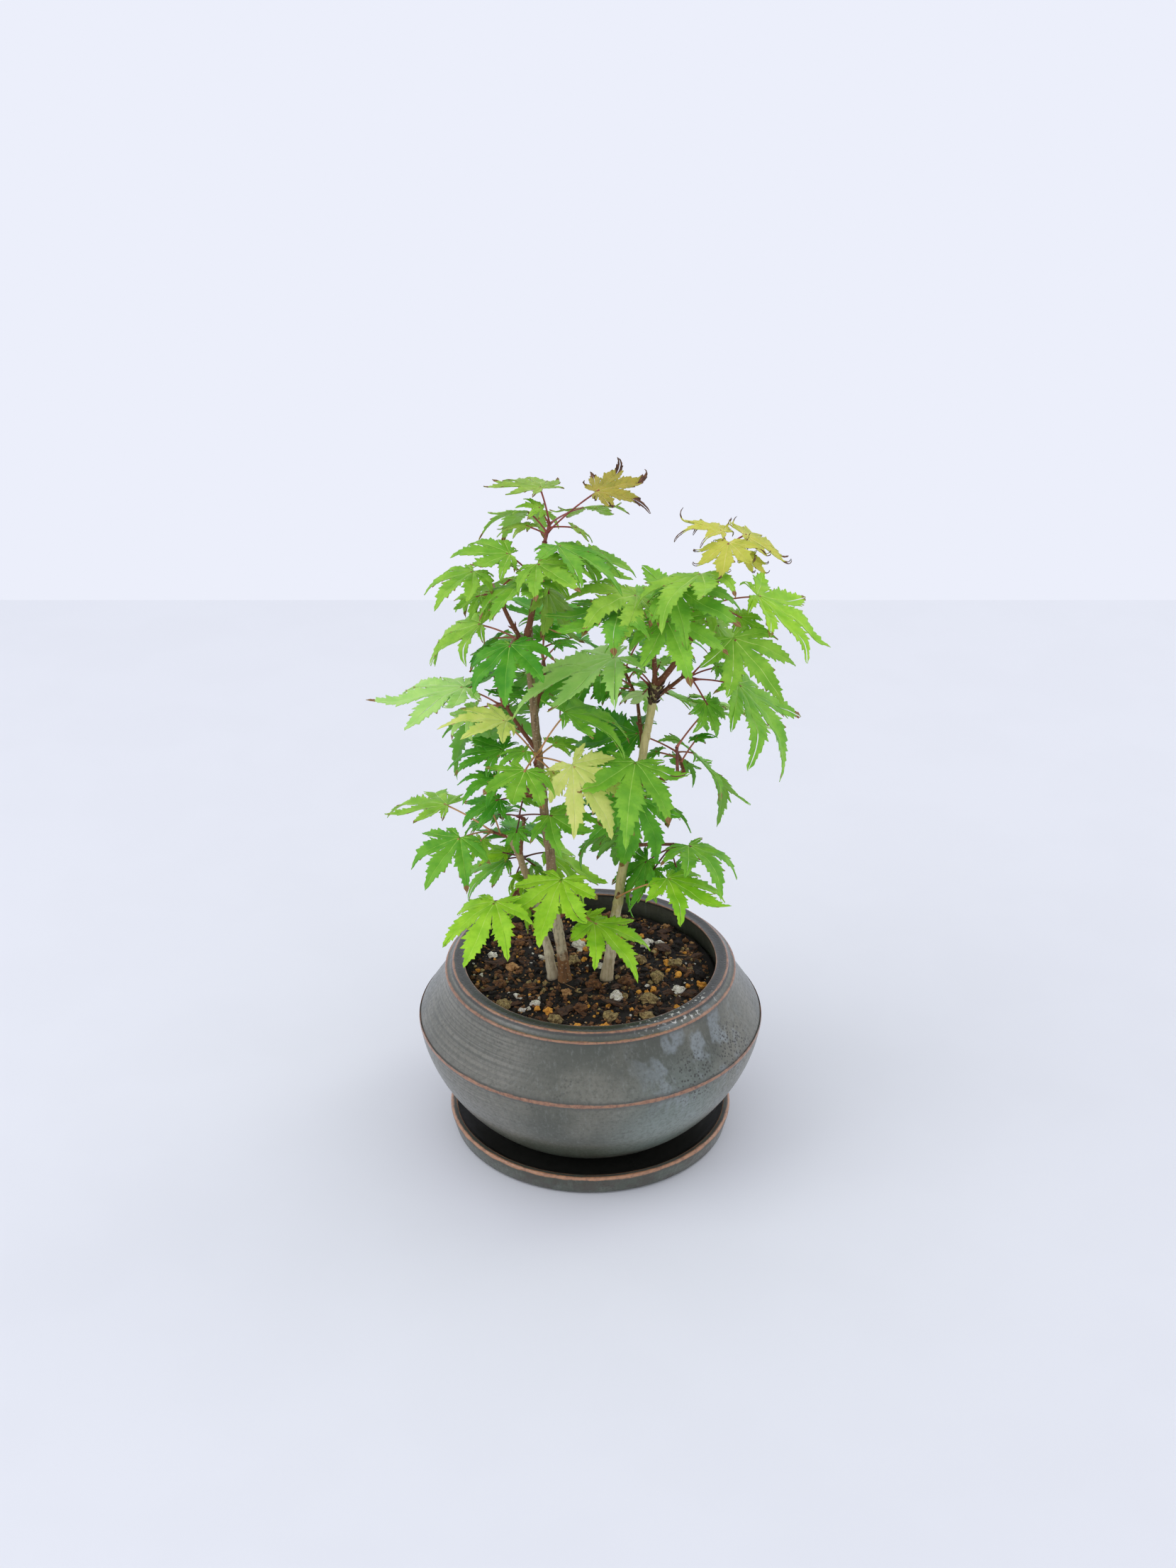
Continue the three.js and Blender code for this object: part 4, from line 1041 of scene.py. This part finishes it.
def blade_mesh(size, habit, rng):
    """Vertices, faces, face kinds and margin dryness of one blade, base at the origin and midrib along X."""
    vertices, faces, kinds, rims = [], [], [], []
    known = {}
    fold = rng.uniform(*VARIED["fold"])
    wave = rng.uniform(0, 50)
    lifts = [rng.uniform(*VARIED["lift"]) for _ in LOBES]
    swerves = [math.radians(rng.uniform(*VARIED["swerve"])) for _ in LOBES]
    tips_dry = [rng.random() < habit["withered"] * DRY_TIPS for _ in LOBES]
    curl, curl_from, dry_from = habit["curl"], habit["curl_from"], habit["dry_from"]
    turns = [curl * rng.uniform(*VARIED["curl"]) * rng.choice(VARIED["curl_way"]) for _ in LOBES]

    def vertex(lobe_number, p, q, side, start, length, pucker, dryness):
        outer = max(0, (p - start) / (length - start))
        bearing = math.radians(LOBES[lobe_number][0]) + swerves[lobe_number] * outer ** 2
        c, s = math.cos(bearing), math.sin(bearing)
        q *= 1 - habit["narrow"] * ease((outer - curl_from * 0.6) / 0.4)
        x, y = p * c - side * q * s, p * s + side * q * c
        key = (round(x, 3), round(y, 3))
        if key in known:
            return known[key]
        radius = math.hypot(x, y)
        z = -BLADE["cup"] * radius ** 2 / size + fold * q + PUCKER["height"] * pucker
        z += lifts[lobe_number] * outer ** 2 * length
        ripple = noise.noise(Vector((x, y, wave)) / (RIPPLE["length"] * size))
        z += RIPPLE["height"] * size * ripple * min(1, radius / (RIPPLE["flat_hub"] * size))
        if outer > curl_from:
            bend = (outer - curl_from) / (1 - curl_from) * turns[lobe_number]
            first = mix(start, length, curl_from)
            round_radius = (length - first) / turns[lobe_number]
            along = first + round_radius * math.sin(bend)
            z += round_radius * (1 - math.cos(bend))
            x, y = along * c - side * q * s, along * s + side * q * c
        vertices.append(Vector((x, y, z)))
        rims.append(1 if tips_dry[lobe_number] and outer > DRY_TIP else dryness)
        known[key] = len(vertices) - 1
        return known[key]

    for number, lobe in enumerate(LOBES):
        for side in (1, -1):
            other = number + side
            neighbour = LOBES[other] if 0 <= other < len(LOBES) else None
            columns, start, length = half_lobe(lobe, neighbour, size, habit["withered"], rng)
            grid = []
            for column, (rib, margin, is_vein, dryness) in enumerate(columns):
                rib_place = Vector((rib, 0))
                span = max(1e-6, (margin - rib_place).length)
                vein = VEIN["half_width"] * size * (1 - VEIN["thinner"] * rib / length)
                line = []
                for row in ROWS:
                    share = min(row, vein / span) if row == ROWS[1] else row
                    place = rib_place.lerp(margin, share)
                    swell = PUCKER["at_vein"] if is_vein else int(column % len(TOOTH) == 2)
                    pucker = math.sin(math.pi * share) * swell
                    dry_edge = dryness if share == 1 else 0
                    line.append(vertex(number, place.x, place.y, side, start, length, pucker, dry_edge))
                grid.append(line)
            for column, (low, high) in enumerate(zip(grid, grid[1:])):
                outer = columns[column][0] / length
                for row in range(len(ROWS) - 1):
                    face = [low[row], high[row], high[row + 1], low[row + 1]]
                    if side < 0:
                        face.reverse()
                    face = [v for i, v in enumerate(face) if v != face[i - 1]]
                    if len(set(face)) < 3:
                        continue
                    faces.append(tuple(face))
                    kind = VEIN_FACE if row == 0 else BLADE_FACE
                    kinds.append(DRY_FACE if outer > dry_from else kind)
    return vertices, faces, kinds, rims


def ways_aside(stalk_way, yaw):
    """The ways a stalk may take, in the order in which the rule tries them."""
    for lift in LIFTS:
        for swing in SWINGS:
            across = UP.cross(stalk_way).normalized()
            way = Matrix.Rotation(math.radians(-lift), 3, across) @ stalk_way
            yield Matrix.Rotation(math.radians(yaw + swing), 3, UP) @ way


def leaf_frame(joint, way, droop, roll):
    """Where a blade sits on the end of a stalk that points this way, and which way its midrib runs."""
    heading = math.degrees(math.atan2(way.y, way.x))
    rise = math.degrees(math.asin(way.z))
    midrib = compass(heading, rise / 2 - droop)
    across = UP.cross(midrib).normalized()
    face = midrib.cross(across)
    placed = Matrix((midrib, across, face)).transposed().to_4x4()
    placed.translation = joint
    return placed @ Matrix.Rotation(math.radians(roll), 4, "X"), midrib


def grow_leaves(name, spray, seed, twig):
    """The leaves of a mass by the source's rule. Each leaf took the first way that was clear, which is the
    one whose leaf tip is among the points of the mass; where none is, the leaf was skipped."""
    heading, rise, _, pairs, turn, spread, petiole, blade, droop, bare = spray[2:12]
    cloud = kdtree.KDTree(len(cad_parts[name].data.vertices))
    for i, v in enumerate(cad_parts[name].data.vertices):
        cloud.insert(v.co / MM, i)
    cloud.balance()
    draw = seeded(seed)
    along = compass(heading, rise)
    level = UP.cross(along).normalized()
    steep = along.cross(level)
    for place in range(2 * pairs):
        pair, of_pair = place // 2, place % 2
        foot = twig.at((pair + 1) / pairs)
        round_twig = math.radians(turn + 90 * pair + 180 * of_pair)
        side = level * math.cos(round_twig) + steep * math.sin(round_twig)
        stalk_way = along * math.cos(math.radians(spread)) + side * math.sin(math.radians(spread))
        yaw = STRAY["yaw"] * draw()
        stalk = petiole[of_pair] * (1 + STRAY["petiole"] * draw())
        size = blade[of_pair] * (1 + STRAY["blade"] * draw())
        hang = droop[of_pair] + STRAY["droop"] * draw()
        roll = STRAY["roll"] * draw()
        if place in bare:
            continue
        for way in ways_aside(stalk_way, yaw):
            joint = foot + way * stalk
            placed, midrib = leaf_frame(joint, way, hang, roll)
            tip = placed @ Vector((size, 0, -BLADE["cup"] * size))
            if cloud.find(tip)[2] < SAME_PLACE:
                yield dict(place=place, foot=foot, joint=joint, midrib=midrib, placed=placed, stalk=stalk,
                           size=size)
                break


# Light and dark of the upper side, the main veins, and the underside.
TINTS = {
    "spring": ("#b2e238", "#80bd1c", "#d2ee74", "#bcdb7a"),
    "fresh": ("#a8d348", "#72ab2a", "#cce67e", "#b4d37c"),
    "worn": ("#abc852", "#7ca236", "#c9db7c", "#b8ca82"),
    "mid": ("#96cc40", "#5fa22c", "#bee26e", "#a8ce74"),
    "deep": ("#74b832", "#44901f", "#a0d05a", "#8dbd60"),
    "blue": ("#c8ee84", "#a6d86c", "#e0f4b0", "#c8e09c"),
    "pale": ("#e6ec86", "#c8da60", "#f0f4b2", "#e2ea9e"),
    "gold": ("#dcd65a", "#b8bc46", "#efe796", "#e3db86"),
    "bronze": ("#bba844", "#8d8c36", "#d4c470", "#c1ad64"),
}
EDGES = {"gold": "#7a4a2a", "bronze": "#6d4128", "worn": "#7d5235", "pale": "#b08c68", "spring": "#8e7a3a"}
PLAIN_EDGE = "#90643f"
STALKS = {
    "red": ("#a34a3c", "#853830"),
    "pink": ("#bb6c58", "#9f5441"),
    "dark": ("#823a31", "#66281f"),
    "tan": ("#cf9a63", "#b67a4a"),
}
# How a leaf of a tint has dried: share of its teeth that are brown, how far it curls in radians and from
# where on the lobe, how thin the curled part is, and from where it is dead and brown.
SOUND = dict(withered=0.17, curl=-0.75, curl_from=0.4, narrow=0, dry_from=2)
HABITS = {
    "gold": dict(withered=0.2, curl=1.7, curl_from=0.5, narrow=0.72, dry_from=0.74),
    "bronze": dict(withered=0.4, curl=1.9, curl_from=0.45, narrow=0.5, dry_from=0.6),
    "worn": dict(withered=0.32, curl=0.7, curl_from=0.6, narrow=0.15, dry_from=0.93),
    "pale": dict(withered=0.12, curl=-0.5, curl_from=0.5, narrow=0, dry_from=2),
}


def leaf_stalk(leaf):
    """A stalk that arches out of the twig and thickens at both ends."""
    middle = leaf["foot"].lerp(leaf["joint"], 0.5) + UP * PETIOLE["arch"] * leaf["stalk"]
    curve = Bend(leaf["foot"], middle, leaf["joint"] + leaf["midrib"] * PETIOLE["sunk"])
    route, radii = [], []
    for i in range(STALK["parts"] + 1):
        thicker = STALK["foot"] * math.exp(-i / STALK["fade"])
        thicker += STALK["tip"] * math.exp((i - STALK["parts"]) / STALK["fade"])
        route.append(curve.at(i / STALK["parts"]))
        radii.append(STALK["radius"] + thicker)
    return tube(route, radii, STALK["sides"])


# Young leaves fill each mass between its grown ones: how many, how often a place is tried, their sizes, and
# how far they keep from everything else.
YOUNG = {
    "count": 3, "tries": 40, "blade": (9, 16), "petiole": (4, 10), "droop": (5, 40), "roll": (-20, 20),
    "up_twig": (0.3, 1), "lean": (0.2, 0.9), "apart": 0.55, "clear": 1.5,
}


def crowded_space():
    """The surfaces of all the CAD solids, for asking how near a point is to any of them."""
    vertices, faces = [], []
    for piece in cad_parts.values():
        first = len(vertices)
        vertices.extend(v.co / MM for v in piece.data.vertices)
        faces.extend(tuple(i + first for i in face.vertices) for face in piece.data.polygons)
    return BVHTree.FromPolygons(vertices, faces)


def young_leaves(name, twig, rng, space, taken):
    """Small leaves on the twig of a mass that stay within the mass's reach and touch nothing."""
    low, high = (Vector(corner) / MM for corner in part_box(name))
    for _ in range(YOUNG["count"] * YOUNG["tries"]):
        share = rng.uniform(*YOUNG["up_twig"])
        foot = twig.at(share)
        along = (twig.at(share) - twig.at(share - 0.1)).normalized()
        lean = along * rng.uniform(*YOUNG["lean"])
        way = (lean + across_limb(along, rng.uniform(0, math.tau))).normalized()
        stalk, size = rng.uniform(*YOUNG["petiole"]), rng.uniform(*YOUNG["blade"])
        joint = foot + way * stalk
        placed, midrib = leaf_frame(joint, way, rng.uniform(*YOUNG["droop"]), rng.uniform(*YOUNG["roll"]))
        probes = [foot.lerp(joint, 0.7), joint]
        for bearing, length in LOBES[1:-1]:
            for reach in (0.55 * length * size, length * size):
                spot = compass(bearing, 0) * reach
                spot.z = -BLADE["cup"] * reach ** 2 / size
                probes.append(placed @ spot)
        within = all(low[k] < probe[k] < high[k] for probe in probes for k in range(3))
        centre = placed @ Vector((size / 2, 0, 0))
        apart = all((centre - other).length > (size + reach) * YOUNG["apart"] for other, reach in taken)
        if within and apart and all(space.find_nearest(probe)[3] > YOUNG["clear"] for probe in probes):
            taken.append((centre, size))
            yield dict(foot=foot, joint=joint, midrib=midrib, placed=placed, stalk=stalk, size=size)


def finish_blades(name, tint, heap, dry):
    """One piece out of all the blades of a tint, each given its thickness and a paler underside."""
    light, dark, vein, under = TINTS[tint]
    edge = EDGES.get(tint, PLAIN_EDGE)
    materials = [
        leaf_blade(f"maple_blade_{name}", light, dark, edge),
        plain_tissue(f"maple_vein_{name}", vein, light, 3, 0.5),
        dry,
        leaf_blade(f"maple_underside_{name}", under, light, edge),
        plain_tissue(f"maple_under_vein_{name}", vein, under, 3, 0.5),
        dry,
    ]
    piece = heap.joined(f"leaves_{name}", materials)
    make_active(piece)
    thickness = piece.modifiers.new("thickness", "SOLIDIFY")
    thickness.thickness = BLADE["thickness"] * MM
    thickness.offset = -1
    thickness.material_offset = 3
    bpy.ops.object.modifier_apply(modifier="thickness")
    stand_for(piece, "foliage", *heap.nodes)


def build_foliage(limbs):
    """The shoots, stalks and blades of every mass, each kind and tint in one piece."""
    blades, young = ({tint: Heap() for tint in TINTS} for _ in range(2))
    stalks, twigs = {tint: Heap() for tint in STALKS}, Heap()
    space, taken = crowded_space(), []

    def grow(leaf, heaps, tint, spread_of_tone):
        stalks[stalk_tint].add(*leaf_stalk(leaf), owner=name)
        vertices, faces, kinds, rims = blade_mesh(leaf["size"], HABITS.get(tint, SOUND), rng)
        tones = [rng.random() * spread_of_tone] * len(vertices)
        heaps[tint].add([leaf["placed"] @ v for v in vertices], faces, kinds, name, tone=tones, rim=rims)

    for seed, (name, spray) in enumerate(SPRAYS.items(), 1):
        on, at, heading, rise, length = spray[:5]
        leaf_tints, stalk_tint = spray[12].split(), spray[13]
        twig = shoot_curve(limbs[on].at(at), heading, rise, length)
        steps = max(6, int(length / TWIG_STEP))
        route, radii = [], []
        for share in (i / steps for i in range(steps + 1)):
            route.append(twig.at(share))
            node = TWIG_NODE["height"] * swelling((1 - share) * length, TWIG_NODE["reach"])
            radii.append(mix(TWIG["foot_radius"], TWIG["tip_radius"], share) + node)
        twigs.add(*tube(route, radii, TWIG_SIDES), owner=name)
        rng = random.Random(LEAF_SEED + seed)
        for leaf in grow_leaves(name, spray, seed, twig):
            grow(leaf, blades, leaf_tints[leaf["place"] % len(leaf_tints)], 1)
        for number, leaf in enumerate(young_leaves(name, twig, rng, space, taken)):
            grow(leaf, young, leaf_tints[-1 - number % len(leaf_tints)], 0.7)
            if number == YOUNG["count"] - 1:
                break
    dry = plain_tissue("dry_curled_leaf_edge", "#7a5236", "#452b1d", 1.5, 0.8)
    for prefix, heaps in (("", blades), ("young_", young)):
        for tint, heap in heaps.items():
            if heap.faces:
                finish_blades(prefix + tint, tint, heap, dry)
    for tint, heap in stalks.items():
        if heap.faces:
            skin = plain_tissue(f"leaf_stalk_{tint}", *STALKS[tint], 4, 0.45)
            stand_for(heap.joined(f"stalks_{tint}", [skin]), "foliage", *heap.nodes)
    twig_bark = plain_tissue("soft_red_twig_bark", "#8f4c38", "#6d3529", 2, 0.5)
    stand_for(twigs.joined("twigs", [twig_bark]), "foliage", *twigs.nodes)


# ---------------------------------------------------------------- stage, light and camera
FLOOR_BACK = 504  # the pale floor ends this far behind the planting, and beyond it is the wall's light
FLOOR_HALF = 1600
SOFTBOXES = {
    "window_left": ((-0.9, -0.3, 1.0), (0, 0, 0.12), 0.9, 0.9, 3.4, "#f8f9ff"),
    "window_right": ((0.9, 0.5, 0.9), (0, 0, 0.1), 0.5, 0.9, 1.6, "#ffffff"),
}
CAMERA = {"x": -0.9, "distance": 886, "aim_height": 143.9, "elevation": 27.5, "lens": 56.25, "sensor": 36}


def build_stage():
    """A plain pale floor, with the world's own light as the wall behind it."""
    deselect_all()
    half = FLOOR_HALF * MM
    bpy.ops.mesh.primitive_plane_add(size=2, location=(0, FLOOR_BACK * MM - half, 0))
    floor = bpy.context.object
    floor.name = "pale_floor"
    floor.scale = (half, half, 1)
    bpy.ops.object.transform_apply(location=True, scale=True)
    paper = Surface("matt_pale_paper", "#e6e7e9")
    paper.cover("#e7e8ea", (paper.lumps(60, 2), 0.4, 0.6))
    floor.data.materials.append(paper.finished({"Roughness": 0.9}))
    floor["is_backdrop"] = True

    world = bpy.data.worlds.new("studio")
    bpy.context.scene.world = world
    world.use_nodes = True
    wall = world.node_tree.nodes["Background"]
    wall.inputs["Color"].default_value = srgb("#eceffb")
    wall.inputs["Strength"].default_value = 1.0


def add_softbox(name, place, aim, width, height, watts, colour):
    """A soft window of light, in metres, that faces its aim."""
    light = bpy.data.lights.new(name, "AREA")
    light.shape = "RECTANGLE"
    light.size, light.size_y = width, height
    light.energy = watts
    light.color = srgb(colour)[:3]
    lamp = bpy.data.objects.new(name, light)
    lamp.location = place
    lamp.rotation_euler = (Vector(aim) - Vector(place)).to_track_quat("-Z", "Y").to_euler()
    bpy.context.scene.collection.objects.link(lamp)


def build_camera():
    elevation = math.radians(CAMERA["elevation"])
    back = Vector((0, -math.cos(elevation), math.sin(elevation)))
    camera = bpy.data.objects.new("camera", bpy.data.cameras.new("camera"))
    camera.location = (Vector((CAMERA["x"], 0, CAMERA["aim_height"])) + back * CAMERA["distance"]) * MM
    camera.rotation_euler = (-back).to_track_quat("-Z", "Y").to_euler()
    camera.data.sensor_width = CAMERA["sensor"]
    camera.data.lens = CAMERA["lens"]
    bpy.context.scene.collection.objects.link(camera)
    bpy.context.scene.camera = camera


build_camera()
build_stage()
for name, softbox in SOFTBOXES.items():
    add_softbox(name, *softbox)
bpy.context.scene.view_settings.view_transform = "Standard"

build_saucer()
build_pot()
build_soil_bed()
build_grains()
limbs = {}
build_stems(limbs)
build_boughs(limbs)
build_knots(limbs)
build_foliage(limbs)

boxes = {"cad": cad_box, "visual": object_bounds()}
{name: [list(corner) for corner in box] for name, box in boxes.items()}
